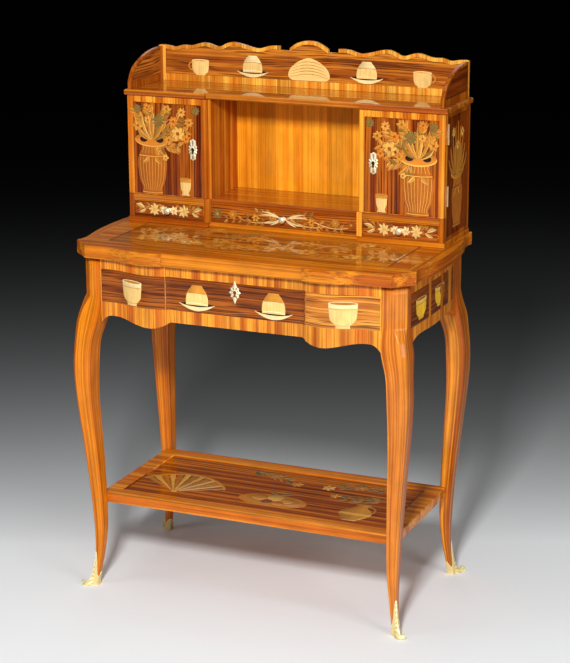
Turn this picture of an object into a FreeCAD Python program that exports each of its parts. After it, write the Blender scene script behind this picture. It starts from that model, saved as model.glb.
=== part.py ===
"""Bonheur du jour: a small writing table on cabriole legs, with an upper cabinet.

Millimetres. +X is the sitter's right, -Y is the front, +Z is up, and the origin lies on the
floor under the middle of the writing top. Every driving size is a cell of the sheet "sizes".
"""
import FreeCAD, Part
import Sketcher
import os
import re
from math import sqrt
from FreeCAD import Placement, Rotation, Vector

doc = FreeCAD.newDocument("bonheur_du_jour")

# ------------------------------------------------------------------ sizes
SIZES = {
    # writing top
    "top_height": (740.0, "writing surface above the floor"),
    "top_thick": (26.6, "thickness of the writing top"),
    "top_overhang": (18.0, "top beyond the frieze at the front and sides"),
    "top_cant": (38.0, "size of the top's canted front corners"),
    "rear_overhang": (37.0, "top beyond the faces of the rear legs"),
    "top_side_swell": (7.0, "side swells beyond the front corner"),
    "top_side_hollow": (4.5, "hollow just behind the front corner"),
    "top_rear_waist": (13.5, "side draws in before the back corner"),
    "top_rear_corner": (11.0, "back corner inside the front corner"),
    "hollow_place": (20.0, "hollow behind the canted corner"),
    "quarter_place": (72.0, "quarter points of the side's curve from its ends"),
    "waist_place": (24.0, "waist in front of the back edge"),
    "lipping_width": (18.0, "solid lipping round the top"),
    # plan of the frieze
    "centre_proud": (9.0, "flat centre of the drawer front before the leg blocks"),
    "panel_wide": (153.0, "swelled side panel, from the leg block to its step"),
    "step_depth": (4.0, "step forward beside the flat centre"),
    "swell_proud": (19.0, "swelled side panels before the leg blocks"),
    "swell_from_step": (40.0, "fullest part of a swelled panel from its step"),
    "fall_inset": (18.0, "straight end of a swelled panel beside the leg block"),
    # leg blocks
    "leg_front": (177.0, "front face of the leg blocks"),
    "leg_side": (347.0, "side face of the leg blocks"),
    "block_width": (44.0, "leg block along the front"),
    "block_depth": (40.0, "leg block along the side"),
    "block_height": (83.4, "straight block below the top"),
    "block_cant": (21.0, "canted outer corner of a front block"),
    "rear_cant": (9.0, "eased outer corner of a rear block"),
    "axis_inset_side": (20.0, "leg axis inside the side faces of the blocks"),
    "axis_inset_front": (15.5, "leg axis inside the front faces of the blocks"),
    "leg_seat": (8.0, "foot of the wood above the floor, in the sabot"),
    # frieze
    "frieze_depth": (117.4, "underside of the top to the centre of the lower edge"),
    "apron_drop": (14.0, "lowest point of the scallop below the centre"),
    "apron_rise": (2.0, "scallop rises towards the legs"),
    "apron_turn": (8.0, "half length of the turn beside the step"),
    "scallop_half": (15.0, "half length of the scallop's lowest part"),
    "bracket_wide": (13.0, "corner brackets along the lower edge"),
    "ear_drop": (18.0, "corner brackets below the centre of the lower edge"),
    "rail_thick": (19.0, "side rails"),
    "rail_edge": (1.0, "ends of a side rail inside the faces of the blocks"),
    "rail_tongue": (8.0, "side rail reaches over the shoulder of the leg"),
    "side_rail_swell": (4.0, "side rails swell beyond the leg blocks"),
    "side_rail_rise": (4.0, "scallop of a side rail's lower edge"),
    "rear_rail_thick": (18.0, "rear rail"),
    "rear_rail_inset": (4.0, "rear rail behind the faces of the rear blocks"),
    "front_rail_deep": (22.0, "front rail under the drawer, front to back"),
    "front_rail_thick": (14.0, "front rail under the drawer"),
    "front_rail_rise": (7.0, "front rail above the frieze's lower edge"),
    "runner_lap": (14.0, "runner under the drawer side"),
    "guide_rise": (24.0, "guide strip above the runner"),
    # frieze drawer
    "drawer_gap": (0.6, "gap round a drawer front"),
    "slide_gap": (0.3, "gap under and beside sliding wood"),
    "front_thin": (14.0, "thinnest part of the bowed drawer front"),
    "drawer_side_thick": (10.0, "sides and back of the frieze drawer"),
    "drawer_side_drop": (12.0, "drawer sides below the writing top"),
    "drawer_rear_gap": (15.0, "frieze drawer in front of the rear rail"),
    "drawer_bottom_thick": (6.0, "bottom of the frieze drawer"),
    "drawer_bottom_rise": (2.0, "bottom above the lower edge of the sides"),
    "drawer_back_drop": (6.0, "back lower than the sides"),
    # frieze lock
    "lock_half": (26.0, "half width of the frieze lock"),
    "lock_high": (53.0, "height of the frieze lock"),
    "lock_deep": (8.0, "thickness of the frieze lock"),
    "bolt_half": (9.0, "half width of the frieze bolt"),
    "bolt_thick": (3.4, "thickness of a lock bolt"),
    "bolt_long": (22.0, "length of a lock bolt"),
    "bolt_throw": (6.0, "travel of the frieze bolt"),
    "bolt_gap": (0.3, "gap round a lock bolt"),
    "keyhole_radius": (3.2, "round of a keyhole"),
    "keyhole_slot": (2.4, "width of a keyhole's slot"),
    "keyhole_drop": (9.0, "slot below the centre of the round"),
    "frieze_key_rise": (11.2, "frieze keyhole above the foot of its lock"),
    "plate_half": (13.0, "half width of the frieze escutcheon"),
    "plate_high": (48.0, "height of the frieze escutcheon"),
    "plate_thick": (1.8, "thickness of an escutcheon"),
    # lower shelf
    "shelf_height": (180.0, "underside of the lower shelf"),
    "shelf_inset_side": (19.0, "lower shelf inside the side faces of the blocks"),
    "shelf_inset_front": (23.0, "lower shelf inside the front faces of the blocks"),
    "shelf_frame_thick": (20.0, "moulding round the lower shelf"),
    "shelf_frame_wide": (34.0, "width of that moulding"),
    "shelf_board_thick": (14.0, "board inside the moulding"),
    "shelf_board_rise": (2.5, "board above the underside"),
    # sabots
    "sabot_wall": (2.2, "metal round the foot"),
    "sabot_cup": (26.0, "height of the sabot behind"),
    "sabot_tip": (75.0, "top of the leaf up the outer corner"),
    "sabot_spread": (3.0, "sabot wider at the floor"),
    "sabot_leaf": (6.5, "leaf in front of the outer corner"),
    "leaf_half": (6.5, "half width of the leaf at the floor"),
    "toe_out": (14.0, "toes beyond the side faces of the blocks"),
    "toe_radius": (6.5, "rolled toe"),
    "toe_long": (17.0, "length of the rolled toe across the foot"),
    # upper cabinet
    "case_side_out": (2.0, "cabinet beyond the side faces of the blocks"),
    "case_deep": (155.0, "depth of the cabinet"),
    "case_inset": (13.0, "cabinet in front of the back edge of the top"),
    "centre_setback": (9.0, "niche and centre drawer behind the cupboards"),
    "base_thick": (10.0, "base board of the cabinet"),
    "base_proud": (2.0, "base board beyond the case"),
    "side_thick": (10.0, "cabinet sides"),
    "back_thick": (10.0, "cabinet back"),
    "niche_half": (164.0, "half width of the niche"),
    "divider_thick": (11.0, "upright between niche and cupboard"),
    "drawer_room": (37.0, "height of the small drawers' row"),
    "rail_board": (12.0, "board above the small drawers"),
    "cupboard_room": (208.0, "height of niche and cupboards"),
    "lap_deep": (70.0, "dividers and board halved into each other"),
    "cornice_thick": (12.0, "top board of the cabinet"),
    "cornice_proud": (5.0, "top board beyond the case"),
    "cornice_back": (2.0, "top board beyond the back of the case"),
    "cornice_round": (4.0, "nosed edge of the top board"),
    # gallery
    "gallery_thick": (8.0, "boards of the gallery"),
    "gallery_inset": (8.0, "gallery inside the edge of the top board"),
    "gallery_high": (80.0, "wings of the gallery back above the top board"),
    "gallery_ledge": (76.0, "ledges beside the arch above the top board"),
    "gallery_step": (66.0, "ledges' outer ends from the middle"),
    "gallery_arch": (98.0, "middle of the gallery back above the top board"),
    "gallery_arch_half": (43.0, "half width of the middle arch"),
    "gallery_arch_foot": (81.5, "feet of the arch above the top board"),
    "gallery_side_high": (73.0, "gallery sides where they meet the back"),
    "gallery_side_nose": (13.0, "gallery sides at their front end"),
    # doors
    "door_thick": (12.0, "cupboard doors"),
    "door_lap": (5.0, "door over the divider's edge"),
    "door_gap": (0.8, "gap above and below a door"),
    "door_seat_gap": (0.3, "gap behind a closed door"),
    "hinge_high": (41.0, "height of a hinge"),
    "hinge_low": (43.0, "middle of the lower hinge above the door's foot"),
    "hinge_top": (40.0, "middle of the upper hinge below the door's head"),
    "leaf_thick": (1.2, "hinge leaves"),
    "leaf_wide": (9.0, "hinge leaves"),
    "leaf_more": (3.0, "leaf on a door wider than the one on the case"),
    "knuckle_radius": (2.1, "hinge knuckles"),
    "knuckle_stand": (2.2, "hinge axis outside the case"),
    "pin_radius": (1.2, "hinge pins"),
    "pin_gap": (0.05, "running gap of a hinge pin"),
    "door_lock_wide": (29.0, "door lock case"),
    "door_lock_high": (40.0, "door lock case"),
    "door_lock_deep": (8.0, "door lock case"),
    "door_lock_edge": (1.7, "lock case clear of the divider"),
    "door_bolt_throw": (4.0, "travel of a door bolt"),
    "door_bolt_high": (8.0, "height of a door bolt"),
    "door_key_inset": (29.0, "door keyhole from the free edge of the door"),
    "door_key_rise": (101.0, "door keyhole above the door's foot"),
    "door_plate_half": (11.0, "half width of a door escutcheon"),
    "door_plate_high": (58.0, "height of a door escutcheon"),
    # small drawers
    "small_front_thick": (12.0, "front of a small drawer"),
    "small_wall": (6.0, "walls of a small drawer"),
    "small_rear_gap": (11.0, "small drawers in front of the cabinet back"),
    "small_bottom": (4.0, "bottom of a small drawer"),
    "small_gap": (0.5, "gap round a small drawer front"),
    "front_ease": (0.8, "softened edge of a small drawer front"),
    "knob_radius": (7.0, "head of a knob"),
    "knob_long": (14.0, "knob in front of the drawer"),
    "knob_neck": (3.2, "neck of a knob"),
    "knob_rose": (5.5, "rose of a knob against the wood"),
}
# Sections of the cabriole leg from foot to shoulder. share: height, as a part of the leg below
# its block. out: bow away from the axis. half: half the square. cant: eased outer corner.
LEG_STATIONS = {
    "foot": (0.0, 10.0, 6.5, 1.0),
    "ankle": (0.084, 2.8, 7.6, 1.0),
    "shank": (0.18, -0.5, 10.5, 1.2),
    "shin": (0.293, 1.0, 12.5, 1.8),
    "calf": (0.421, 5.0, 14.5, 2.3),
    "mid": (0.55, 10.1, 16.7, 3.5),
    "lower_knee": (0.678, 14.6, 19.0, 4.8),
    "knee": (0.791, 14.5, 21.0, 6.0),
    "thigh": (0.863, 10.6, 22.0, 7.4),
    "ear": (0.92, 4.0, 25.0, 8.5),
    "shoulder": (0.958, 0.0, 23.7, 10.0),
}
STATION_MEANINGS = ("height as a part of the leg", "bow of the leg", "half width", "cant")
for station, values in LEG_STATIONS.items():
    for column, value, meaning in zip(("share", "out", "half", "cant"), values, STATION_MEANINGS):
        SIZES[f"{station}_{column}"] = (value, f"{meaning} at the {station}")

sheet = doc.addObject("Spreadsheet::Sheet", "sizes")
for row, (alias, (value, meaning)) in enumerate(SIZES.items(), 1):
    sheet.set(f"A{row}", meaning)
    sheet.set(f"B{row}", str(value))
    sheet.setAlias(f"B{row}", alias)
doc.recompute()


# Lines of the piece that follow from the sizes.
LINES = {
    "top_back": "leg_front + rear_overhang",
    "centre_front": "leg_front + centre_proud",
    "swell_front": "leg_front + swell_proud",
    "step_half": "leg_side - block_width - panel_wide",
    "swell_place": "step_half + swell_from_step",
    "fall_place": "leg_side - block_width - fall_inset",
    "leg_axis_side": "leg_side - axis_inset_side",
    "leg_axis_front": "leg_front - axis_inset_front",
    "toe_reach": "leg_side + toe_out",
    "shelf_half": "leg_side - shelf_inset_side",
    "shelf_front": "leg_front - shelf_inset_front",
    "case_half": "leg_side + case_side_out",
    "case_back": "leg_front + rear_overhang - case_inset",
    "case_front": "leg_front + rear_overhang - case_inset - case_deep",
    "knob_place": "(niche_half + divider_thick + case_half - side_thick) / 2",
    "door_key_place": "niche_half + divider_thick - door_lap + door_key_inset",
    "under_top": "top_height - top_thick",
    "frieze_foot": "under_top - frieze_depth",
    "rail_top": "frieze_foot + front_rail_rise + front_rail_thick",
    "block_inner": "leg_side - block_width",
    "block_back": "leg_front - block_depth",
    "front_back": "leg_front - front_thin",
    "rear_rail_face": "leg_front - rear_rail_inset",
    "base_top": "top_height + base_thick",
    "board_foot": "base_top + drawer_room",
    "room_foot": "board_foot + rail_board",
    "room_head": "room_foot + cupboard_room",
    "case_head": "room_head + cornice_thick",
    "back_face": "case_back - back_thick",
    "centre_recess": "case_front + centre_setback",
    "case_inner": "case_half - side_thick",
    "cupboard_inner": "niche_half + divider_thick",
    "lap_end": "case_front + lap_deep",
    "door_back": "case_front + door_thick",
    "door_seat": "door_back + door_seat_gap",
    "door_free": "cupboard_inner - door_lap",
    "door_foot": "room_foot + door_gap",
    "door_head": "room_head - door_gap",
    "door_key": "door_foot + door_key_rise",
    "door_lock_near": "cupboard_inner + door_lock_edge",
    "door_bolt_face": "door_back + (door_lock_deep - bolt_thick) / 2",
    "hinge_axis_x": "case_half + knuckle_stand",
    "hinge_axis_y": "door_back + door_seat_gap / 2",
    "front_half": "block_inner - drawer_gap",
    "box_foot": "rail_top + slide_gap",
    "box_half": "block_inner - slide_gap",
    "box_inner": "box_half - drawer_side_thick",
    "box_end": "rear_rail_face - rear_rail_thick - drawer_rear_gap",
    "side_head": "under_top - drawer_side_drop",
    "bottom_foot": "box_foot + drawer_bottom_rise",
    "bottom_head": "bottom_foot + drawer_bottom_thick",
    "lock_head": "under_top - drawer_gap",
    "frieze_key": "lock_head - lock_high + frieze_key_rise",
    "lock_front": "-front_back - lock_deep",
    "bolt_face": "lock_front + (lock_deep - bolt_thick) / 2",
    "bolt_low": "lock_head - bolt_long",
    "small_foot": "base_top + slide_gap",
    "small_head": "board_foot - small_gap",
    "small_end": "back_face - small_rear_gap",
}


def spelled(expression):
    """The expression with every line above written out in the sheet's own names."""
    def spell(word):
        rule = LINES.get(word.group())
        return f"({spelled(rule)})" if rule else word.group()
    return re.sub(r"[a-z_]*[a-z]", spell, expression)


def size(expression):
    """Value of an expression in the sheet's names."""
    return float(sheet.evalExpression(spelled(expression)))


def in_sheet(expression):
    """The same expression with every name pointed at the sheet."""
    return re.sub(r"[a-z_]*[a-z]", lambda word: "sizes." + word.group(), spelled(expression))


# ------------------------------------------------------------------ ways of making a piece
pieces = {}


def keep(name, thing):
    """Marks a finished sub-part and gives it the name of its file."""
    thing.Label = name
    pieces[name] = thing
    return thing


def box(name, across, deep, high):
    """Board between a low and a high limit on X, Y and Z, each an expression."""
    board = doc.addObject("Part::Box", name)
    for limits, side, axis in zip((across, deep, high), ("Length", "Width", "Height"), "xyz"):
        low, top = (in_sheet(limit) for limit in limits)
        board.setExpression("Placement.Base." + axis, low)
        board.setExpression(side, f"({top}) - ({low})")
    return board


def on_side(side, near, far):
    """Limits on X, given from the middle outwards, on the right (1) or the left (-1)."""
    return (near, far) if side > 0 else (f"-({far})", f"-({near})")


def bore(name, across, deep, high, radius, axis="y"):
    """Round tool along Y or X: one entry of its centre is the pair of limits along that axis."""
    rod = doc.addObject("Part::Cylinder", name)
    rod.setExpression("Radius", in_sheet(radius))
    low, top = (in_sheet(limit) for limit in (deep if axis == "y" else across))
    rod.setExpression("Height", f"({top}) - ({low})")
    turn = Rotation(Vector(1, 0, 0), -90) if axis == "y" else Rotation(Vector(0, 1, 0), 90)
    rod.Placement = Placement(Vector(), turn)
    places = (across, deep[0], high) if axis == "y" else (across[0], deep, high)
    for letter, place in zip("xyz", places):
        rod.setExpression("Placement.Base." + letter, in_sheet(place))
    return rod


def cut(name, base, *tools):
    """A piece with the tools taken out of it."""
    tool = tools[0]
    if len(tools) > 1:
        tool = doc.addObject("Part::MultiFuse", name + "_tools")
        tool.Shapes = list(tools)
    piece = doc.addObject("Part::Cut", name)
    piece.Base = base
    piece.Tool = tool
    return piece


def outline_sketch(body, plane, corners):
    """Closed sketch on one of the body's own planes, every corner tied to the sheet."""
    sketch = body.newObject("Sketcher::SketchObject", body.Name + "_outline")
    origin = [item for item in body.Origin.OriginFeatures if item.Role == plane][0]
    sketch.AttachmentSupport = (origin, [""])
    sketch.MapMode = "FlatFace"
    places = [Vector(size(across), size(up), 0) for across, up in corners]
    for start, end in zip(places, places[1:] + places[:1]):
        sketch.addGeometry(Part.LineSegment(start, end), False)
    for index in range(len(corners)):
        following = (index + 1) % len(corners)
        sketch.addConstraint(Sketcher.Constraint("Coincident", index, 2, following, 1))
    for index, (place, corner) in enumerate(zip(places, corners)):
        for kind, value, rule in zip(("DistanceX", "DistanceY"), (place.x, place.y), corner):
            number = sketch.addConstraint(Sketcher.Constraint(kind, -1, 1, index, 1, value))
            sketch.setExpression(f"Constraints[{number}]", in_sheet(rule))
    return sketch


def plate(name, plane, corners, low, high):
    """Flat board: a closed outline on a plane, padded from its low to its high limit."""
    body = doc.addObject("PartDesign::Body", name)
    pad = body.newObject("PartDesign::Pad", name + "_pad")
    pad.Profile = outline_sketch(body, plane, corners)
    pad.setExpression("Length", f"({in_sheet(high)}) - ({in_sheet(low)})")
    axis, start = {"XY_Plane": ("z", low), "XZ_Plane": ("y", high), "YZ_Plane": ("x", low)}[plane]
    body.setExpression("Placement.Base." + axis, in_sheet(start))
    return body


def feature(name, shape):
    """Piece with a free shape, worked out from the sheet's values."""
    piece = doc.addObject("Part::Feature", name)
    piece.Shape = shape
    return piece


def line(start, end):
    """Straight edge between two plan points."""
    return Part.makeLine(Vector(*start), Vector(*end))


def curve(points, start_way=None, end_way=None):
    """Smooth edge through the points, with its direction at each end where given."""
    spline = Part.BSplineCurve()
    ways = {}
    if start_way:
        ways["InitialTangent"] = Vector(*start_way)
        ways["FinalTangent"] = Vector(*end_way)
    spline.interpolate(Points=[Vector(*point) for point in points], **ways)
    return spline.toShape()


def mirrored(edges):
    """The same edges on the left of the middle."""
    return [edge.mirror(Vector(), Vector(1, 0, 0)) for edge in edges]


def face_of(edges):
    """Flat face inside a loop of edges."""
    return Part.Face(Part.Wire(Part.sortEdges(edges)[0]))


def block(low, high):
    """Plain box between two corners, used as a tool."""
    low, high = Vector(*low), Vector(*high)
    return Part.makeBox(high.x - low.x, high.y - low.y, high.z - low.z, low)


def polygon(points):
    """Closed wire through 3-D points."""
    vectors = [Vector(*point) for point in points]
    return Part.makePolygon(vectors + vectors[:1])


# ------------------------------------------------------------------ writing top
def bowed_front(forward, end):
    """Right half of the bowed front, moved forward from the frieze: flat, step, swell, flat."""
    flat = -size("centre_front") - forward
    step = size("step_half")
    stepped = flat - size("step_depth")
    swell = (size("swell_place"), -size("swell_front") - forward)
    fall = (size("fall_place"), -size("leg_front") - forward)
    between = ((swell[0] + fall[0]) / 2, (swell[1] + fall[1]) / 2)
    return [
        line((0, flat), (step, flat)),
        line((step, flat), (step, stepped)),
        curve([(step, stepped), swell, between, fall], (1, -0.25), (1, 0)),
        line(fall, (end, fall[1])),
    ]


def top_corner(inset):
    """Both ends of the canted corner of the top's plan, drawn in by an inset."""
    side = size("leg_side + top_overhang") - inset
    front = -size("leg_front + top_overhang") + inset
    cant = size("top_cant") - inset * (2 - sqrt(2))
    return (side - cant, front), (side, front + cant)


def top_face(inset):
    """Plan of the writing top, drawn in by an inset everywhere but at the back."""
    start, end = top_corner(inset)
    side, front = end
    back = size("top_back")
    quarter = size("quarter_place")
    rear = (side - size("top_rear_corner"), back)
    flank = [
        end,
        (side - size("top_side_hollow"), front + size("hollow_place")),
        (side + size("top_side_swell") / 4, front + quarter),
        (side + size("top_side_swell"), (front + back) / 2),
        (side - size("top_rear_waist") / 3, back - quarter),
        (side - size("top_rear_waist"), back - size("waist_place")),
        rear,
    ]
    right = bowed_front(size("top_overhang") - inset, start[0])
    right += [line(start, end), curve(flank), line(rear, (0, back))]
    return face_of(right + mirrored(right))


def lipping_region(side):
    """Tool that holds one side lipping, mitred to the front one at the canted corner."""
    outer, inner = (top_corner(inset)[1] for inset in (0, size("lipping_width")))
    way = Vector(outer[0] - inner[0], outer[1] - inner[1], 0).normalize()
    far = Vector(*outer, 0) + way * 60
    near = Vector(*inner, 0) - way * 5
    behind = size("top_back + top_overhang")
    inward = near.x - size("3 * lipping_width")
    corners = [tuple(far)[:2], tuple(near)[:2], (inward, behind), (far.x, behind)]
    height = size("under_top")
    region = Part.Face(polygon([(side * x, y, height - 1) for x, y in corners]))
    return region.extrude(Vector(0, 0, size("top_thick") + 2))


rise = Vector(0, 0, size("top_thick"))
lift = Vector(0, 0, size("under_top"))
slab = top_face(0).extrude(rise).translated(lift)
core = top_face(size("lipping_width")).extrude(rise).translated(lift)
ring = slab.cut(core)
regions = {1: lipping_region(1), -1: lipping_region(-1)}
lock_back = -size("front_back")
mortise = block(
    (-size("bolt_half + 2 * bolt_gap"), lock_back - size("lock_deep"), size("under_top") - 1),
    (size("bolt_half + 2 * bolt_gap"), lock_back, size("under_top + bolt_throw + 2")),
)
keep("writing_top", feature("writing_top", core.cut(mortise)))
front_lipping = ring.cut(regions[1]).cut(regions[-1])
keep("top_lipping_front", feature("top_lipping_front", front_lipping))
for side, word in ((-1, "left"), (1, "right")):
    keep("top_lipping_" + word, feature("top_lipping_" + word, ring.common(regions[side])))


# ------------------------------------------------------------------ legs
def leg_levels():
    """Height, bow, half width and cant of every station, and of the block's lower end."""
    seat = size("leg_seat")
    length = size("under_top - block_height") - seat
    names = LEG_STATIONS.keys()
    return [
        [seat + length * size(name + "_share")] + [size(f"{name}_{what}") for what in
                                                   ("out", "half", "cant")]
        for name in names
    ]


def leg_section(level, side, front, grow=0.0):
    """Square section with its outer corner canted, at one level of a leg."""
    height, out, half, cant = level
    middle_x = size("leg_axis_side") + out
    middle_y = size("leg_axis_front") + out
    return canted(middle_x - half - grow, middle_x + half + grow, middle_y - half - grow,
                  middle_y + half + grow, cant + 0.6 * grow, height, side, front)


def canted(near_x, far_x, near_y, far_y, cant, height, side, front):
    """Rectangle with its outer corner cut off, as a wire in one leg's own corner."""
    corners = [(near_x, near_y), (far_x, near_y), (far_x, far_y - cant), (far_x - cant, far_y),
               (near_x, far_y)]
    return polygon([(side * x, front * y, height) for x, y in corners])


def block_section(height, side, front):
    """Section of the block at the top of a leg."""
    cant = size("block_cant") if front < 0 else size("rear_cant")
    return canted(size("block_inner"), size("leg_side"), size("block_back"), size("leg_front"),
                  cant, height, side, front)


def leg(side, front):
    """Cabriole leg: smooth through its sections, with a straight block above."""
    shoulder = size("under_top - block_height")
    sections = [leg_section(level, side, front) for level in leg_levels()]
    sections.append(block_section(shoulder, side, front))
    bowed = Part.makeLoft(sections, True, False)
    straight = Part.Face(block_section(shoulder, side, front))
    return bowed.fuse(straight.extrude(Vector(0, 0, size("block_height")))).removeSplitter()


LEGS = {"front_left": (-1, -1), "front_right": (1, -1), "rear_left": (-1, 1), "rear_right": (1, 1)}
leg_shapes = {word: leg(*place) for word, place in LEGS.items()}
for word, shape in leg_shapes.items():
    keep("leg_" + word, feature("leg_" + word, shape))
all_legs = list(leg_shapes.values())


# ------------------------------------------------------------------ sabots
def level_at(height):
    """Leg section at any height, by straight lines between the stations."""
    levels = leg_levels()
    if height <= levels[0][0]:
        return [height] + levels[0][1:]
    for low, high in zip(levels, levels[1:]):
        if low[0] <= height <= high[0]:
            part = (height - low[0]) / (high[0] - low[0])
            return [height] + [a + part * (b - a) for a, b in zip(low[1:], high[1:])]


def on_diagonal(shape, side, front):
    """Moves a shape made along X, from the leg's axis outwards, to the diagonal of one leg."""
    shape.rotate(Vector(), Vector(0, 0, 1), {1: 45 * front, -1: 180 - 45 * front}[side])
    axis = Vector(side * size("leg_axis_side"), front * size("leg_axis_front"), 0)
    return shape.translated(axis)


def corner_reach(height):
    """Outer corner of the wood from the leg's axis, along the diagonal."""
    level = level_at(height)
    return (level[1] + level[2]) * sqrt(2) - level[3] / sqrt(2)


def sabot_leaf():
    """Pointed leaf up the outer corner, spreading into the foot of the toe."""
    tip = size("sabot_tip")
    stand = size("sabot_leaf")
    half = size("leaf_half")
    sole = (size("toe_reach - leg_axis_side")) * sqrt(2) - size("toe_radius")
    # part of the height, thickness over the corner, part of the half width
    shape = ((0.12, 1.9, 1.0), (0.24, 1.35, 0.97), (0.42, 1.1, 0.9), (0.62, 0.95, 0.75),
             (0.83, 0.75, 0.5), (1.0, 0.5, 0.2))
    stations = [(0, sole, half)]
    for part, thick, wide in shape:
        stations.append((part * tip, corner_reach(part * tip) + thick * stand, wide * half))
    sections = []
    for height, out, wide in stations:
        inner = corner_reach(height) - 0.5 * stand
        sections.append(polygon([(inner, -wide, height), (out - 0.6 * wide, -wide, height),
                                 (out, 0, height), (out - 0.6 * wide, wide, height),
                                 (inner, wide, height)]))
    return Part.makeLoft(sections, True, True)


def sabot(side, front, wood):
    """Metal shoe: cup round the foot, leaf up the outer corner and a toe rolled outwards."""
    cup = size("sabot_cup")
    wall = size("sabot_wall")
    low = leg_section(level_at(0), side, front, size("sabot_spread"))
    middle = leg_section(level_at(cup / 3), side, front, wall)
    high = leg_section(level_at(cup), side, front, wall)
    shoe = Part.makeLoft([low, middle, high], True, True)
    shoe = shoe.fuse(on_diagonal(sabot_leaf(), side, front))
    reach = size("toe_reach - leg_axis_side") * sqrt(2)
    radius = size("toe_radius")
    long = size("toe_long")
    roll = Part.makeCylinder(radius, long, Vector(reach - radius, -long / 2, radius),
                             Vector(0, 1, 0))
    return shoe.fuse(on_diagonal(roll, side, front)).cut(wood).removeSplitter()


for word, place in LEGS.items():
    keep("sabot_" + word, feature("sabot_" + word, sabot(*place, leg_shapes[word])))


# ------------------------------------------------------------------ frieze rails and runners
def side_rail(side):
    """Swelled rail with a scalloped lower edge, fitted between the leg blocks."""
    inner = size("leg_side - rail_thick")
    edge = size("leg_side - rail_edge")
    end = size("block_back + rail_tongue")
    middle = size("leg_side + side_rail_swell")
    bow = Part.Arc(Vector(edge, -end, 0), Vector(middle, 0, 0), Vector(edge, end, 0)).toShape()
    plan = face_of([bow, line((edge, end), (inner, end)), line((inner, end), (inner, -end)),
                    line((inner, -end), (edge, -end))])
    foot = size("frieze_foot")
    head = size("under_top")
    lowest = foot - size("ear_drop")
    rail = plan.extrude(Vector(0, 0, head - lowest)).translated(Vector(0, 0, lowest))
    arch = size("side_rail_rise")
    block_edge = size("block_back")
    ear = lowest + size("ear_drop") / 9
    below = lowest - arch
    half = [(0, foot + arch / 2), (block_edge * 0.5, foot + arch),
            (block_edge * 0.84, foot - arch / 4), (block_edge, ear)]
    scallop = [(-y, z) for y, z in reversed(half[1:])] + half
    edge_curve = curve([(0, y, z) for y, z in scallop])
    closing = [(0, block_edge, ear), (0, end, ear), (0, end, below),
               (0, -end, below), (0, -end, ear), (0, -block_edge, ear)]
    edges = [edge_curve] + [line(a, b) for a, b in zip(closing, closing[1:])]
    away = face_of(edges).extrude(Vector(2 * middle, 0, 0))
    rail = rail.cut(away)
    if side < 0:
        rail = rail.mirror(Vector(), Vector(1, 0, 0))
    for wood in all_legs:
        rail = rail.cut(wood)
    return rail


for side, word in ((-1, "left"), (1, "right")):
    keep("side_rail_" + word, feature("side_rail_" + word, side_rail(side)))
between_blocks = ("-block_inner", "block_inner")
keep("rear_rail", box("rear_rail", between_blocks,
                      ("rear_rail_face - rear_rail_thick", "rear_rail_face"),
                      ("frieze_foot", "under_top")))
front_rail_face = "-front_back + drawer_gap"
keep("front_rail", box("front_rail", between_blocks,
                       (front_rail_face, front_rail_face + " + front_rail_deep"),
                       ("rail_top - front_rail_thick", "rail_top")))
for side, word in ((-1, "left"), (1, "right")):
    near = "block_inner - runner_lap"
    far = "leg_side - rail_thick"
    outline = [(near, "rail_top - front_rail_thick"), (far, "rail_top - front_rail_thick"),
               (far, "rail_top + guide_rise"), ("block_inner", "rail_top + guide_rise"),
               ("block_inner", "rail_top"), (near, "rail_top")]
    if side < 0:
        outline = [(f"-({x})", z) for x, z in outline]
    keep("drawer_runner_" + word, plate("drawer_runner_" + word, "XZ_Plane", outline,
                                        "-block_back", "block_back"))


# ------------------------------------------------------------------ frieze drawer
def apron_edge():
    """Right half of the drawer front's lower edge: flat centre, scallop and corner bracket."""
    foot = size("frieze_foot")
    step = size("step_half")
    drop = size("apron_drop")
    swell = size("swell_place")
    fall = size("fall_place")
    ear = size("ear_drop")
    end = size("front_half")
    turn = size("apron_turn")
    low_half = size("scallop_half")
    bracket = size("bracket_wide")
    points = [
        (step - turn, foot), (step + turn, foot - 0.65 * drop), (swell - low_half, foot - drop),
        (swell + low_half, foot - 0.9 * drop), ((swell + fall) / 2 + turn, foot - 0.3 * drop),
        (fall - low_half, foot - size("apron_rise")), (end - bracket, foot - 0.3 * ear),
        (end - bracket / 2, foot - 0.6 * ear), (end, foot - ear),
    ]
    return [line((0, 0, foot), (step - turn, 0, foot)), curve([(x, 0, z) for x, z in points])]


def drawer_front():
    """Bowed drawer front with its scalloped lower edge, before the lock is let in."""
    end = size("front_half")
    back = -size("front_back")
    right = bowed_front(0, end)
    right += [line((end, -size("leg_front")), (end, back)), line((end, back), (0, back))]
    low = size("frieze_foot - ear_drop") - 1
    high = size("lock_head")
    solid = face_of(right + mirrored(right)).extrude(Vector(0, 0, high - low))
    solid.translate(Vector(0, 0, low))
    edge = apron_edge()
    corner = (end, 0, size("frieze_foot") - size("ear_drop"))
    edge += [line(corner, (end, 0, low - 5)), line((end, 0, low - 5), (0, 0, low - 5))]
    away = face_of(edge + mirrored(edge))
    away = away.extrude(Vector(0, 2 * size("swell_front"), 0))
    return solid.cut(away.translated(Vector(0, -2 * size("swell_front"), 0)))


bare_front = feature("bare_drawer_front", drawer_front())
lock_pocket = box("lock_pocket", ("-lock_half", "lock_half"),
                  ("lock_front", "-front_back + 1"),
                  ("lock_head - lock_high", "lock_head + 1"))


def keyhole(name, across, deep, high):
    """Round and slot of a keyhole, as tools along Y."""
    round_part = bore(name + "_round", across, deep, high, "keyhole_radius")
    slot = box(name + "_slot", (across + " - keyhole_slot / 2", across + " + keyhole_slot / 2"),
               deep, (high + " - keyhole_drop", high))
    return round_part, slot


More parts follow.
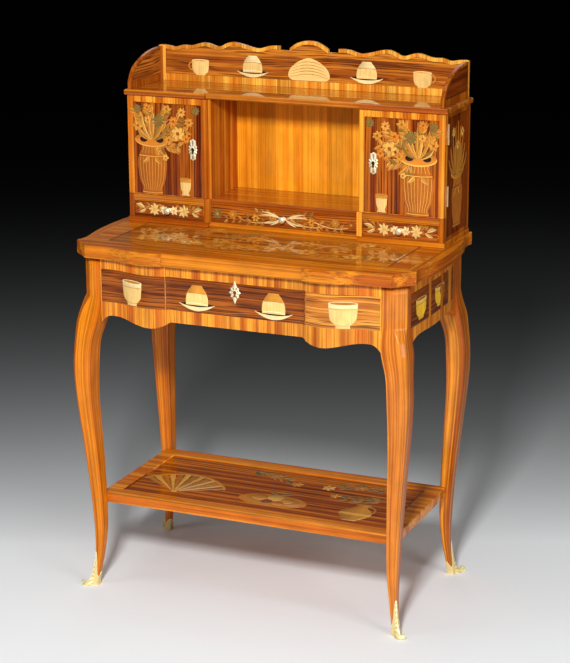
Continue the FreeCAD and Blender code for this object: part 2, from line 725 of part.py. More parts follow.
through_front = ("-2 * swell_front", "lock_front + lock_deep / 2")
front_way = keyhole("front_key", "0 * lock_half", through_front, "frieze_key")
keep("frieze_drawer_front", cut("frieze_drawer_front", bare_front, lock_pocket, *front_way))
for side, word in ((-1, "left"), (1, "right")):
    keep("frieze_drawer_side_" + word,
         box("frieze_drawer_side_" + word, on_side(side, "box_inner", "box_half"),
             ("-front_back", "box_end"), ("box_foot", "side_head")))
box_inside = ("-box_inner", "box_inner")
keep("frieze_drawer_back",
     box("frieze_drawer_back", box_inside, ("box_end - drawer_side_thick", "box_end"),
         ("bottom_head", "side_head - drawer_back_drop")))
keep("frieze_drawer_bottom",
     box("frieze_drawer_bottom", box_inside, ("-front_back", "box_end"),
         ("bottom_foot", "bottom_head")))

# ------------------------------------------------------------------ frieze lock
frieze_case = box("frieze_case", ("-lock_half", "lock_half"), ("lock_front", "-front_back"),
                  ("lock_head - lock_high", "lock_head"))
frieze_slot = box("frieze_slot", ("-bolt_half - bolt_gap", "bolt_half + bolt_gap"),
                  ("bolt_face - bolt_gap", "bolt_face + bolt_thick + bolt_gap"),
                  ("bolt_low - bolt_gap", "lock_head + 1"))
frieze_way = keyhole("frieze_way", "0 * lock_half",
                     ("lock_front - 1", "lock_front + lock_deep / 2"), "frieze_key")
keep("frieze_lock_case", cut("frieze_lock_case", frieze_case, frieze_slot, *frieze_way))
keep("frieze_lock_bolt", box("frieze_lock_bolt", ("-bolt_half", "bolt_half"),
                             ("bolt_face", "bolt_face + bolt_thick"), ("bolt_low", "lock_head")))


def escutcheon(name, middle, face, key, half, high):
    """Pointed oval plate with a keyhole in its middle."""
    shape = ((0, 0.5), (0.32, 0.38), (1, 0.12), (0.8, -0.06), (0.95, -0.2), (0.35, -0.4),
             (0, -0.5), (-0.35, -0.4), (-0.95, -0.2), (-0.8, -0.06), (-1, 0.12), (-0.32, 0.38))
    corners = [(f"{middle} + {x} * {half}", f"{key} + {z} * {high}") for x, z in shape]
    blank = plate(name + "_blank", "XZ_Plane", corners, f"{face} - plate_thick", face)
    way = keyhole(name + "_key", middle, (f"{face} - plate_thick - 1", f"{face} + 1"), key)
    return cut(name, blank, *way)


keep("frieze_escutcheon", escutcheon("frieze_escutcheon", "0 * lock_half", "-centre_front",
                                     "frieze_key", "plate_half", "plate_high"))

# ------------------------------------------------------------------ lower shelf
frame_inner = ("shelf_half - shelf_frame_wide", "shelf_front - shelf_frame_wide")
keep("lower_shelf", box("lower_shelf", (f"-({frame_inner[0]})", frame_inner[0]),
                        (f"-({frame_inner[1]})", frame_inner[1]),
                        ("shelf_height + shelf_board_rise",
                         "shelf_height + shelf_board_rise + shelf_board_thick")))


def shelf_moulding():
    """Four mitred lengths round the shelf board, fitted round the legs."""
    outer = (size("shelf_half"), size("shelf_front"))
    inner = tuple(value - size("shelf_frame_wide") for value in outer)
    foot = size("shelf_height")
    around = [(1, 1), (-1, 1), (-1, -1), (1, -1)]
    lengths = []
    for here, there in zip(around, around[1:] + around[:1]):
        corners = [(outer[0] * here[0], outer[1] * here[1]),
                   (outer[0] * there[0], outer[1] * there[1]),
                   (inner[0] * there[0], inner[1] * there[1]),
                   (inner[0] * here[0], inner[1] * here[1])]
        strip = Part.Face(polygon([(x, y, foot) for x, y in corners]))
        strip = strip.extrude(Vector(0, 0, size("shelf_frame_thick")))
        for wood in all_legs:
            strip = strip.cut(wood)
        lengths += strip.Solids
    return Part.makeCompound(lengths)


keep("lower_shelf_moulding", feature("lower_shelf_moulding", shelf_moulding()))

# ------------------------------------------------------------------ cabinet case
def stepped(half, front, back, step):
    """Plan outline with both ends in front of a set-back centre."""
    recess = f"{front} + centre_setback"
    return [(f"-({half})", front), (f"-({step})", front), (f"-({step})", recess),
            (step, recess), (step, front), (half, front), (half, back), (f"-({half})", back)]


keep("cabinet_base", plate("cabinet_base", "XY_Plane",
                           stepped("case_half + base_proud", "case_front - base_proud",
                                   "case_back", "niche_half + base_proud"),
                           "top_height", "base_top"))
for side, word in ((-1, "left"), (1, "right")):
    wall = box("side_board_" + word, on_side(side, "case_inner", "case_half"),
               ("case_front", "case_back"), ("base_top", "room_head"))
    rebate = box("side_rebate_" + word, on_side(side, "case_inner - 1", "case_half + 1"),
                 ("case_front - 1", "door_seat"), ("room_foot", "room_head + 1"))
    leaf_beds = [
        box(f"side_bed_{word}_{place}", on_side(side, "case_half - leaf_wide", "case_half + 1"),
            ("door_seat - 1", "door_seat + leaf_thick"),
            (middle + " - hinge_high / 2", middle + " + hinge_high / 2"))
        for place, middle in (("low", "door_foot + hinge_low"),
                              ("high", "door_head - hinge_top"))
    ]
    keep("cabinet_side_" + word, cut("cabinet_side_" + word, wall, rebate, *leaf_beds))

for side, word in ((-1, "left"), (1, "right")):
    upright = box("upright_" + word, on_side(side, "niche_half", "cupboard_inner"),
                  ("case_front", "back_face"), ("base_top", "room_head"))
    rebate = box("upright_rebate_" + word,
                 on_side(side, "niche_half - 1", "cupboard_inner + 1"),
                 ("case_front - 1", "door_seat"), ("room_foot", "room_head + 1"))
    notch = box("upright_notch_" + word,
                on_side(side, "niche_half - 1", "cupboard_inner + 1"),
                ("lap_end", "back_face + 1"), ("board_foot", "room_foot"))
    strike = box("strike_" + word,
                 on_side(side, "cupboard_inner - door_bolt_throw - 1", "cupboard_inner + 1"),
                 ("door_bolt_face - 2 * bolt_gap", "door_bolt_face + bolt_thick + 2 * bolt_gap"),
                 ("door_key - door_bolt_high / 2 - 2 * bolt_gap",
                  "door_key + door_bolt_high / 2 + 2 * bolt_gap"))
    keep("divider_" + word, cut("divider_" + word, upright, rebate, notch, strike))
shelf_outline = [
    ("-case_inner", "case_front"), ("-cupboard_inner", "case_front"),
    ("-cupboard_inner", "lap_end"), ("-niche_half", "lap_end"), ("-niche_half", "centre_recess"),
    ("niche_half", "centre_recess"), ("niche_half", "lap_end"), ("cupboard_inner", "lap_end"),
    ("cupboard_inner", "case_front"), ("case_inner", "case_front"), ("case_inner", "back_face"),
    ("-case_inner", "back_face"),
]
keep("cabinet_shelf", plate("cabinet_shelf", "XY_Plane", shelf_outline, "board_foot", "room_foot"))
keep("cabinet_back", box("cabinet_back", ("-case_inner", "case_inner"),
                         ("back_face", "case_back"), ("base_top", "room_head")))

# ------------------------------------------------------------------ cabinet top and gallery
cabinet_top = plate("cabinet_top", "XY_Plane",
                    stepped("case_half + cornice_proud", "case_front - cornice_proud",
                            "case_back + cornice_back", "niche_half + cornice_proud"),
                    "room_head", "case_head")
doc.recompute()
board_pad = cabinet_top.Tip
back_edge = size("case_back + cornice_back")
nosed = [
    f"Edge{number}" for number, edge in enumerate(board_pad.Shape.Edges, 1)
    if edge.BoundBox.ZLength < 1e-6 and edge.BoundBox.YMin < back_edge - 1e-6
]
nosing = cabinet_top.newObject("PartDesign::Fillet", "cabinet_top_nosing")
nosing.Base = (board_pad, nosed)
nosing.setExpression("Radius", in_sheet("cornice_round"))
cabinet_top.Tip = nosing
keep("cabinet_top", cabinet_top)

# Crest of a wing beyond its ledge: parts of the wing's length, and of its height.
CREST = ((0.0, 1.055), (0.05, 1.055), (0.10, 1.03), (0.165, 0.965), (0.21, 0.975), (0.30, 1.05),
         (0.38, 1.094), (0.43, 1.06), (0.50, 0.96), (0.57, 1.02), (0.615, 1.045), (0.675, 1.006),
         (0.73, 0.955), (0.81, 0.95), (0.86, 0.90), (0.91, 0.92), (0.95, 0.935), (1.0, 0.93))
# Upper edge of a gallery side: parts of its length behind the front, and of its height.
SIDE_CREST = ((0.0, 0.18), (0.04, 0.35), (0.11, 0.54), (0.24, 0.70), (0.45, 0.86), (0.7, 0.96),
              (1.0, 1.0))


def gallery_back():
    """Back board of the gallery, with a round arch between two waved wings."""
    foot = size("case_head")
    half = size("case_half + cornice_proud - gallery_inset")
    high = size("gallery_high")
    ledge = foot + size("gallery_ledge")
    step = size("gallery_step")
    arch_half = size("gallery_arch_half")
    arch_foot = foot + size("gallery_arch_foot")
    top = Vector(0, 0, foot + size("gallery_arch"))
    arch = Part.Arc(Vector(-arch_half, 0, arch_foot), top, Vector(arch_half, 0, arch_foot))
    wave = [(step + part * (half - step), 0, foot + up * high) for part, up in CREST]
    right = [line((arch_half, 0, arch_foot), (arch_half, 0, ledge)),
             line((arch_half, 0, ledge), (step, 0, ledge)), line((step, 0, ledge), wave[0]),
             curve(wave), line(wave[-1], (half, 0, foot)), line((half, 0, foot), (0, 0, foot))]
    board = face_of([arch.toShape()] + right + mirrored(right))
    board = board.extrude(Vector(0, size("gallery_thick"), 0))
    return board.translated(Vector(0, size("back_face + back_thick / 10"), 0))


def gallery_side(side):
    """Side board of the gallery, rising in a curve from its nose to the back."""
    foot = size("case_head")
    front = size("case_front - cornice_proud + cornice_round / 2")
    back = size("back_face + back_thick / 10")
    high = size("gallery_side_high")
    nose = size("gallery_side_nose")
    outer = size("case_half + cornice_proud - gallery_inset")
    crest = [(outer, front + part * (back - front), foot + max(up * high, nose))
             for part, up in SIDE_CREST]
    edges = [line((outer, front, foot), crest[0]), curve(crest),
             line(crest[-1], (outer, back, foot)), line((outer, back, foot), (outer, front, foot))]
    board = face_of(edges).extrude(Vector(-size("gallery_thick"), 0, 0))
    return board if side > 0 else board.mirror(Vector(), Vector(1, 0, 0))


keep("gallery_back", feature("gallery_back", gallery_back()))
for side, word in ((-1, "left"), (1, "right")):
    keep("gallery_side_" + word, feature("gallery_side_" + word, gallery_side(side)))

# ------------------------------------------------------------------ doors and hinges
door_middles = ("door_foot + hinge_low", "door_head - hinge_top")
for side, word in ((-1, "left"), (1, "right")):
    panel = box("door_board_" + word,
                on_side(side, "door_free", "case_half - door_seat_gap"),
                ("case_front", "door_back"), ("door_foot", "door_head"))
    beds = [
        box(f"door_bed_{word}_{number}",
            on_side(side, "case_half - leaf_wide - leaf_more", "case_half"),
            ("door_back - leaf_thick", "door_back + 1"),
            (middle + " - hinge_high / 2", middle + " + hinge_high / 2"))
        for number, middle in enumerate(door_middles)
    ]
    way = keyhole("door_way_" + word, "door_key_place" if side > 0 else "-door_key_place",
                  ("case_front - 1", "door_back + 1"), "door_key")
    keep("door_" + word, cut("door_" + word, panel, *beds, *way))


def hinge_leaf(side, middle, moving):
    """One leaf of a butt hinge with its knuckles: the door has the middle one of three."""
    high = size("hinge_high")
    foot = size(middle) - high / 2
    third = high / 3
    gap = size("slide_gap")
    radius = size("knuckle_radius")
    axis = Vector(size("hinge_axis_x"), size("hinge_axis_y"), 0)
    thick = size("leaf_thick")
    if moving:
        flat_low = size("door_back") - thick
        inner = size("case_half - leaf_wide - leaf_more")
        rolls = [1]
    else:
        flat_low = size("door_seat")
        inner = size("case_half - leaf_wide")
        rolls = [0, 2]
    leaf = block((inner, flat_low, foot), (size("case_half") - gap, flat_low + thick, foot + high))
    for number in rolls:
        low = foot + number * third + (gap / 2 if number else 0)
        top = foot + (number + 1) * third - (gap / 2 if number < 2 else 0)
        knuckle = Part.makeCylinder(radius, top - low, Vector(axis.x, axis.y, low))
        tongue = block((inner, flat_low, low), (axis.x, flat_low + thick, top))
        leaf = leaf.fuse(knuckle).fuse(tongue)
    leaf = leaf.cut(Part.makeCylinder(size("pin_radius + pin_gap"), high + 2,
                                      Vector(axis.x, axis.y, foot - 1)))
    return leaf if side > 0 else leaf.mirror(Vector(), Vector(1, 0, 0))


fixed_leaves = [hinge_leaf(side, middle, False) for side in (-1, 1) for middle in door_middles]
keep("hinge_case_leaves", feature("hinge_case_leaves", Part.makeCompound(fixed_leaves)))
pins = [
    Part.makeCylinder(size("pin_radius"), size("hinge_high"),
                      Vector(side * size("hinge_axis_x"), size("hinge_axis_y"),
                             size(middle + " - hinge_high / 2")))
    for side in (-1, 1) for middle in door_middles
]
keep("hinge_pins", feature("hinge_pins", Part.makeCompound(pins)))
for side, word in ((-1, "left"), (1, "right")):
    leaves = [hinge_leaf(side, middle, True) for middle in door_middles]
    keep("hinge_door_leaves_" + word,
         feature("hinge_door_leaves_" + word, Part.makeCompound(leaves)))

# ------------------------------------------------------------------ door locks
for side, word in ((-1, "left"), (1, "right")):
    key = "door_key_place" if side > 0 else "-door_key_place"
    case = box("door_case_" + word,
               on_side(side, "door_lock_near", "door_lock_near + door_lock_wide"),
               ("door_back", "door_back + door_lock_deep"),
               ("door_key - door_lock_high / 2", "door_key + door_lock_high / 2"))
    low = "door_key - door_bolt_high / 2"
    high = "door_key + door_bolt_high / 2"
    slot = box("door_slot_" + word,
               on_side(side, "door_lock_near - 1", "door_lock_near + bolt_long + bolt_gap"),
               ("door_bolt_face - bolt_gap", "door_bolt_face + bolt_thick + bolt_gap"),
               (low + " - bolt_gap", high + " + bolt_gap"))
    way = keyhole("door_lock_way_" + word, key, ("door_back - 1", "door_bolt_face"), "door_key")
    keep("door_lock_case_" + word, cut("door_lock_case_" + word, case, slot, *way))
    keep("door_lock_bolt_" + word,
         box("door_lock_bolt_" + word,
             on_side(side, "door_lock_near", "door_lock_near + bolt_long"),
             ("door_bolt_face", "door_bolt_face + bolt_thick"), (low, high)))
    keep("door_escutcheon_" + word,
         escutcheon("door_escutcheon_" + word, key, "case_front", "door_key", "door_plate_half",
                    "door_plate_high"))

# ------------------------------------------------------------------ small drawers
SMALL = {
    "left": ("-case_inner", "-cupboard_inner", "case_front", "-knob_place"),
    "centre": ("-niche_half", "niche_half", "centre_recess", "0 * knob_place"),
    "right": ("cupboard_inner", "case_inner", "case_front", "knob_place"),
}
for word, (low_x, high_x, face, knob_x) in SMALL.items():
    low_x = f"({low_x} + small_gap)"
    high_x = f"({high_x} - small_gap)"
    name = "small_drawer_front_" + word
    corners = [(low_x, "small_foot"), (high_x, "small_foot"), (high_x, "small_head"),
               (low_x, "small_head")]
    behind = f"({face} + small_front_thick)"
    front_body = plate(name, "XZ_Plane", corners, face, behind)
    doc.recompute()
    front_pad = front_body.Tip
    rim = [f"Edge{number}" for number, edge in enumerate(front_pad.Shape.Edges, 1)
           if edge.BoundBox.YMax < -size("small_front_thick") + 1e-6]
    ease = front_body.newObject("PartDesign::Chamfer", name + "_ease")
    ease.Base = (front_pad, rim)
    ease.setExpression("Size", in_sheet("front_ease"))
    front_body.Tip = ease
    keep(name, front_body)
    head = "small_head - small_bottom"
    outer_box = box("small_block_" + word, (low_x, high_x), (behind, "small_end"),
                    ("small_foot", head))
    hollow = box("small_hollow_" + word, (low_x + " + small_wall", high_x + " - small_wall"),
                 (behind + " - 1", "small_end - small_wall"),
                 ("small_foot + small_bottom", head + " + 1"))
    keep("small_drawer_box_" + word, cut("small_drawer_box_" + word, outer_box, hollow))
    knob = doc.addObject("PartDesign::Body", "knob_" + word)
    profile = [("0 * knob_radius", "0 * knob_radius"), ("knob_rose", "0 * knob_radius"),
               ("knob_rose", "-0.1 * knob_long"), ("knob_neck", "-0.25 * knob_long"),
               ("knob_neck", "-0.4 * knob_long"), ("knob_radius", "-0.65 * knob_long"),
               ("0.9 * knob_radius", "-0.85 * knob_long"),
               ("0.45 * knob_radius", "-knob_long"), ("0 * knob_radius", "-knob_long")]
    turned = knob.newObject("PartDesign::Revolution", "knob_turned_" + word)
    turned.Profile = outline_sketch(knob, "XY_Plane", profile)
    turned.ReferenceAxis = (turned.Profile[0], ["V_Axis"])
    turned.Angle = 360
    for axis, place in (("x", knob_x), ("y", face),
                        ("z", "(small_foot + small_head) / 2")):
        knob.setExpression("Placement.Base." + axis, in_sheet(place))
    keep("knob_" + word, knob)

# ------------------------------------------------------------------ write the pieces
doc.recompute()
for item in doc.Objects:
    if {"Invalid", "Error"} & set(item.State):
        raise SystemExit(f"{item.Label} failed: {item.State}")
os.makedirs("parts", exist_ok=True)
for name, piece in pieces.items():
    shape = piece.Shape
    if shape.isNull() or not shape.isValid() or shape.Volume <= 0:
        raise SystemExit(f"{name} has no sound shape")
for name, piece in pieces.items():
    piece.Shape.exportStep(f"parts/{name}.step")
print(len(pieces), "pieces written")
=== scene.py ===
import math

import bpy
import numpy as np
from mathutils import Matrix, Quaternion, Vector


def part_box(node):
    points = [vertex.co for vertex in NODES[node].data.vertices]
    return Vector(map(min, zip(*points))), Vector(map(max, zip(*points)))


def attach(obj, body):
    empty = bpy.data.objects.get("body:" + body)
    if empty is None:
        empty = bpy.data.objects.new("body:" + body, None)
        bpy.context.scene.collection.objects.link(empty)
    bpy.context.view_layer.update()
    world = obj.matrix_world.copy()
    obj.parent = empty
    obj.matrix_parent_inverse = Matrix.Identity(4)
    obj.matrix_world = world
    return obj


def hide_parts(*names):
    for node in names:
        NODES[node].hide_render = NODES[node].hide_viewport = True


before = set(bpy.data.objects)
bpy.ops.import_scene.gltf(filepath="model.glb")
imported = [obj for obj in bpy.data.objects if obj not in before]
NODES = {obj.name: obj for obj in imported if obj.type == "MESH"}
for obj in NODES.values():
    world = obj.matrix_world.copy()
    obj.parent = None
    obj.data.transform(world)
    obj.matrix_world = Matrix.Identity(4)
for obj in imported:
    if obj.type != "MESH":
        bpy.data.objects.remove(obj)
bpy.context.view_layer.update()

# ---------------------------------------------------------------- writing top
# The writing top is a softwood slab veneered in tulipwood round a dark kingwood field, with a
# solid tulipwood lipping glued on and moulded after the bow of the front. It is French polished,
# so every wood here is a figured colour under a thin clear gloss.
def socket_of(sockets, key):
    """A node's socket by its place, its identifier or its name."""
    if isinstance(key, int):
        return sockets[key]
    found = [s for s in sockets if s.identifier == key] + [s for s in sockets if s.name == key]
    return found[0]


class Reading:
    """A number or colour on its way through a finish. Python's signs add its Math nodes."""

    def __init__(self, finish, socket):
        self.finish = finish
        self.socket = socket

    def maths(self, operation, *terms):
        return self.finish.node("Math", {"operation": operation}, dict(enumerate(terms)))

    def __add__(self, other):
        return self.maths("ADD", self, other)

    def __mul__(self, other):
        return self.maths("MULTIPLY", self, other)

    def __sub__(self, other):
        return self.maths("SUBTRACT", self, other)

    def __rsub__(self, other):
        return self.maths("SUBTRACT", other, self)

    def __truediv__(self, other):
        return self.maths("DIVIDE", self, other)

    def rises(self, low, high):
        """0 up to low, 1 from high on, and a smooth rise between."""
        return self.finish.node("MapRange", {"interpolation_type": "SMOOTHSTEP"},
                                {"Value": self, "From Min": low, "From Max": high})


class Finish:
    """A material in the making, with its principled surface ready to take what varies."""

    def __init__(self, name, surface):
        self.material = bpy.data.materials.new(name)
        self.material.use_nodes = True
        self.tree = self.material.node_tree
        self.shader = self.tree.nodes["Principled BSDF"]
        for socket, value in surface.items():
            self.paint(socket, value)

    def feed(self, socket, value):
        """Links a reading to a socket, or sets a plain number or colour on it."""
        if isinstance(value, Reading):
            self.tree.links.new(value.socket, socket)
        elif socket.type == "RGBA":
            socket.default_value = (*value, 1.0)
        else:
            socket.default_value = value

    def paint(self, socket, value):
        """Gives a value to one socket of the surface."""
        self.feed(self.shader.inputs[socket], value)

    def node(self, kind, settings=(), values=(), out=0):
        """Adds one node: its settings first, then the values or links of its sockets."""
        made = self.tree.nodes.new("ShaderNode" + kind)
        for name, setting in dict(settings).items():
            setattr(made, name, setting)
        for key, value in dict(values).items():
            self.feed(socket_of(made.inputs, key), value)
        return Reading(self, socket_of(made.outputs, out))

    def mix(self, share, first, second):
        """One colour turning into another as share goes from 0 to 1."""
        return self.node("Mix", {"data_type": "RGBA"},
                         {"Factor_Float": share, "A_Color": first, "B_Color": second},
                         "Result_Color")

    def cloud(self, along, across, deep, detail=2.0):
        """Soft noise from 0 to 1, as fine in each direction as its reading is stretched."""
        where = self.node("CombineXYZ", (), {0: along, 1: across, 2: deep})
        return self.node("TexNoise", (), {"Vector": where, "Scale": 1.0, "Detail": detail})

    def lit(self, colour, light):
        """A colour made lighter or darker by a number."""
        return self.node("VectorMath", {"operation": "SCALE"}, {0: colour, "Scale": light})

    def grained(self, grain):
        """A place in metres as three readings, the first of them along the grain: of the
        desk's own axes for x, y and z, or of the piece's own map, laid out after its grain."""
        if grain == "map":
            place = self.node("TexCoord", (), (), "UV")
            u, v = (self.node("SeparateXYZ", (), {0: place}, axis) for axis in "XY")
            return u, v, v * 0.0 + 0.0033
        place = self.node("TexCoord", (), (), "Object")
        axes = [self.node("SeparateXYZ", (), {0: place}, axis) for axis in "XYZ"]
        first = "xyz".index(grain)
        return axes[first], axes[(first + 1) % 3], axes[(first + 2) % 3]

    def made(self, colour, roughness, height, depth):
        """The material, once its colour, its roughness and the grain of its surface, a height
        from 0 to 1 so many metres deep, are fed to it."""
        self.paint("Base Color", colour)
        self.paint("Roughness", roughness)
        self.paint("Normal", self.node("Bump", (), {"Strength": 1.0, "Distance": depth,
                                                    "Height": height}))
        return self.material


POLISH = {"Coat Weight": 0.4, "Coat Roughness": 0.05, "Coat IOR": 1.42, "IOR": 1.12}
MIRROR = {"Coat Weight": 1.0, "Coat Roughness": 0.025, "Coat IOR": 1.45, "IOR": 1.1}


def figured(finish, place, light, body, dark, stripe, vein, swirl, veins):
    """Colour of one wood from its place in metres along and across the grain: broad stripes
    between body and light, dark veins between growth rings that wander by swirl, fine pores,
    and the slow shimmer of the cut. Gives the colour and the pores."""
    along, across, deep = place
    wander = (finish.cloud(along * 3.0, across * 15.0, deep * 15.0) - 0.5) * swirl
    across_ring = across + wander
    deep_ring = deep + wander
    bands = finish.cloud(along * 0.8, across_ring / stripe, deep_ring / stripe)
    rings = finish.cloud(along * 2.2, across_ring / vein, deep_ring / vein, 1.6)
    pores = finish.cloud(along * 60.0, across * 2400.0, deep * 2400.0, 1.0).rises(0.52, 0.75)
    shimmer = finish.cloud(along * 18.0, across * 45.0, deep * 45.0)
    colour = finish.mix(bands.rises(0.38, 0.62), body, light)
    colour = finish.mix(rings.rises(0.44, 0.66) * veins, colour, dark)
    colour = finish.mix(pores * 0.25, colour, dark)
    return finish.lit(colour, shimmer * 0.56 + 0.72), pores


def wood(name, grain, light, body, dark, stripe=0.02, vein=0.003, swirl=0.004, veins=0.5,
         leaf=0.0, gloss=POLISH):
    """A polished wood with its grain along one axis. leaf is the width of the veneer leaves
    laid side by side, each a little lighter or darker than its neighbour."""
    finish = Finish(name, gloss)
    along, across, deep = finish.grained(grain)
    if leaf:
        count = finish.node("Math", {"operation": "FLOOR"}, {0: (across + deep) / leaf})
        tone = finish.node("TexWhiteNoise", {"noise_dimensions": "1D"}, {"W": count}, "Value")
        along = along + tone * 3.0
    colour, pores = figured(finish, (along, across, deep), light, body, dark, stripe, vein,
                            swirl, veins)
    if leaf:
        colour = finish.lit(colour, tone * 0.34 + 0.82)
    return finish.made(colour, pores * 0.2 + 0.3, 1.0 - pores, 0.00004)


def dress(material, *names, ease=0.0):
    """Gives their finish to the CAD nodes whose names begin so, and rubs their sharp edges
    round by a small width, so that they catch light."""
    for name, solid in NODES.items():
        if not name.startswith(names):
            continue
        for held in solid.material_slots:
            held.material = material
        if ease:
            joined = solid.modifiers.new("joined", "WELD")
            joined.merge_threshold = 0.00001
            flats = solid.modifiers.new("flats", "DECIMATE")
            flats.decimate_type = "DISSOLVE"
            flats.angle_limit = math.radians(0.6)
            arris = solid.modifiers.new("arris", "BEVEL")
            arris.width = ease
            arris.segments = 2
            arris.limit_method = "ANGLE"
            arris.angle_limit = math.radians(32)
            solid.modifiers.new("sheen", "WEIGHTED_NORMAL")


tulip_x, tulip_y = (
    wood("tulipwood_" + way, grain, (0.70, 0.225, 0.010), (0.43, 0.086, 0.004),
         (0.13, 0.018, 0.002), swirl=0.0015)
    for way, grain in (("lengthwise", "x"), ("deepwise", "y")))
tulip_z = wood("tulipwood_upright", "z", (0.88, 0.33, 0.028), (0.54, 0.125, 0.007),
               (0.16, 0.023, 0.003), leaf=0.034)
dress(tulip_x, "writing_top", "top_lipping_front", ease=0.0012)
dress(tulip_y, "top_lipping_left", "top_lipping_right", ease=0.0012)


def skyline(places, heights, digits):
    """The highest of the heights at each place, as a line."""
    places, which = np.unique(places.round(digits), return_inverse=True)
    highest = np.zeros(len(places))
    np.maximum.at(highest, which, heights)
    return places, highest


def bowed_line():
    """Outer face of the bowed drawer front as a line in plan, x and y, from the faces of the
    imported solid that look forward. The front edge of the writing top runs parallel to it."""
    solid = NODES["frieze_drawer_front"].data
    looking = [corner for face in solid.polygons if face.normal.y < -0.6
               for corner in face.vertices]
    outer = np.array([solid.vertices[corner].co for corner in looking])
    outer = outer[outer[:, 1] < -0.1765]
    places, reach = skyline(outer[:, 0], -outer[:, 1], 5)
    return places, -reach


BOW = bowed_line()


def shown(name, data):
    """A new object of the scene from its mesh, lamp or camera."""
    piece = bpy.data.objects.new(name, data)
    bpy.context.scene.collection.objects.link(piece)
    return piece


class Picture:
    """The cut veneers of one marquetry panel, each a strip between two edge lines of the
    panel: point(s, t) = lower(s) (1 - t) + upper(s) t. Levels lie a fine step above each
    other, and within a level each veneer lies a hair above the one before it."""

    STEP, HAIR, HAIRS, THICK = 0.00008, 0.055, 16, 0.0005

    def __init__(self, seed):
        self.chance = np.random.default_rng(seed)
        self.points, self.faces, self.maps, self.tints, self.sands = [], [], [], [], []
        self.laid = 0

    def between(self, lower, upper, tint, grain, level, sand=0.0, columns=4):
        """One strip between two lines of as many points. sand is how dark the hot sand has
        burnt its upper edge, grain the angle of its grain."""
        share = np.linspace(0, 1, columns + 1)[None, :, None]
        flat = lower[:, None, :] * (1 - share) + upper[:, None, :] * share
        rows = len(lower)
        flat = flat.reshape(-1, 2)
        order = self.laid + np.arange(rows * (columns + 1)).reshape(rows, columns + 1)
        self.laid += rows * (columns + 1)
        self.faces.append(np.stack([order[:-1, :-1], order[1:, :-1], order[1:, 1:],
                                    order[:-1, 1:]], -1).reshape(-1, 4))
        lift = (level + self.HAIR * (len(self.points) % self.HAIRS)) * self.STEP
        self.points.append(np.column_stack([flat, np.full(len(flat), lift)]))
        turn = np.array([[math.cos(grain), -math.sin(grain)], [math.sin(grain), math.cos(grain)]])
        self.maps.append(flat @ turn + self.chance.uniform(-5, 5, 2))
        tone = self.chance.uniform(0.9, 1.08)
        self.tints.append(np.tile([*(tone * np.array(tint)), 1.0], (len(flat), 1)))
        self.sands.append(np.tile(share[0, :, 0] * sand, rows))

    def strip(self, path, half, tint, grain=None, level=1, sand=0.0, columns=4):
        """A strip carried along a path: path(s) - n half(s) to path(s) + n half(s), n being
        the path's left hand. Its grain runs with the path unless it is given."""
        way = np.gradient(path, axis=0)
        way /= np.linalg.norm(way, axis=1)[:, None]
        hand = np.column_stack([-way[:, 1], way[:, 0]]) * np.broadcast_to(half, len(path))[:, None]
        if grain is None:
            grain = math.atan2(path[-1, 1] - path[0, 1], path[-1, 0] - path[0, 0])
        self.between(path - hand, path + hand, tint, grain, level, sand, columns)

    def lay(self, name, place, material, body):
        """Lays the picture on a face: place(a, b, up) gives x, y and z. Each veneer is a thin
        closed plate, let into the ground."""
        flat = np.concatenate(self.points)
        mesh = bpy.data.meshes.new(name)
        faces = np.concatenate(self.faces)
        mesh.from_pydata(np.column_stack(place(*flat.T)), [], faces)
        laid = mesh.uv_layers.new(name="grain")
        laid.uv.foreach_set("vector", np.concatenate(self.maps)[faces.ravel()].ravel())
        tint = mesh.attributes.new("tint", "FLOAT_COLOR", "POINT")
        tint.data.foreach_set("color", np.concatenate(self.tints).ravel())
        sand = mesh.attributes.new("sand", "FLOAT", "POINT")
        sand.data.foreach_set("value", np.concatenate(self.sands))
        mesh.materials.append(material)
        mesh.shade_smooth()
        piece = shown(name, mesh)
        plate = piece.modifiers.new("plate", "SOLIDIFY")
        plate.thickness = self.THICK
        plate.offset = -1.0
        piece.modifiers.new("sheen", "WEIGHTED_NORMAL")
        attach(piece, body)
        return piece


# Tints of the small veneers: plain, dyed or scorched woods.
PALE, CREAM, HONEY = (0.92, 0.70, 0.34), (0.86, 0.56, 0.19), (0.80, 0.42, 0.08)
GOLD, ORANGE, ROSE = (0.66, 0.27, 0.030), (0.68, 0.22, 0.020), (0.74, 0.32, 0.052)
TAN, OLIVE, GREEN = (0.50, 0.19, 0.025), (0.32, 0.17, 0.025), (0.20, 0.14, 0.030)
RUSSET, INK = (0.36, 0.085, 0.012), (0.03, 0.012, 0.005)


def line_to(start, end, sag, rows=13):
    """Path from start to end that bows to its left by sag in the middle."""
    start, end = np.array(start, float), np.array(end, float)
    share = np.linspace(0, 1, rows)[:, None]
    left = np.array([start[1] - end[1], end[0] - start[0]]) / np.linalg.norm(end - start)
    return start + share * (end - start) + 4 * share * (1 - share) * sag * left


def facing_up(height):
    """The places of a picture on a level face."""
    return lambda a, b, up: (a, b, height + up)


def field(picture, across, foot, head, line, rows=60, grain=0.0):
    """The ground veneer of a panel on a dark one that shows round it as a line. across holds
    its two ends. foot and head are its edges, each a height or a function of the places and
    of how far the edge is carried out."""
    for out, tint, level in ((line, INK, 0), (0, TAN, 1)):
        run = np.linspace(min(across) - out, max(across) + out, rows)
        heights = [edge(run, out) if callable(edge) else np.full(rows, edge + way * out)
                   for edge, way in ((foot, -1), (head, 1))]
        lower, upper = (np.column_stack([run, height]) for height in heights)
        picture.between(lower, upper, tint, grain, level, columns=8)


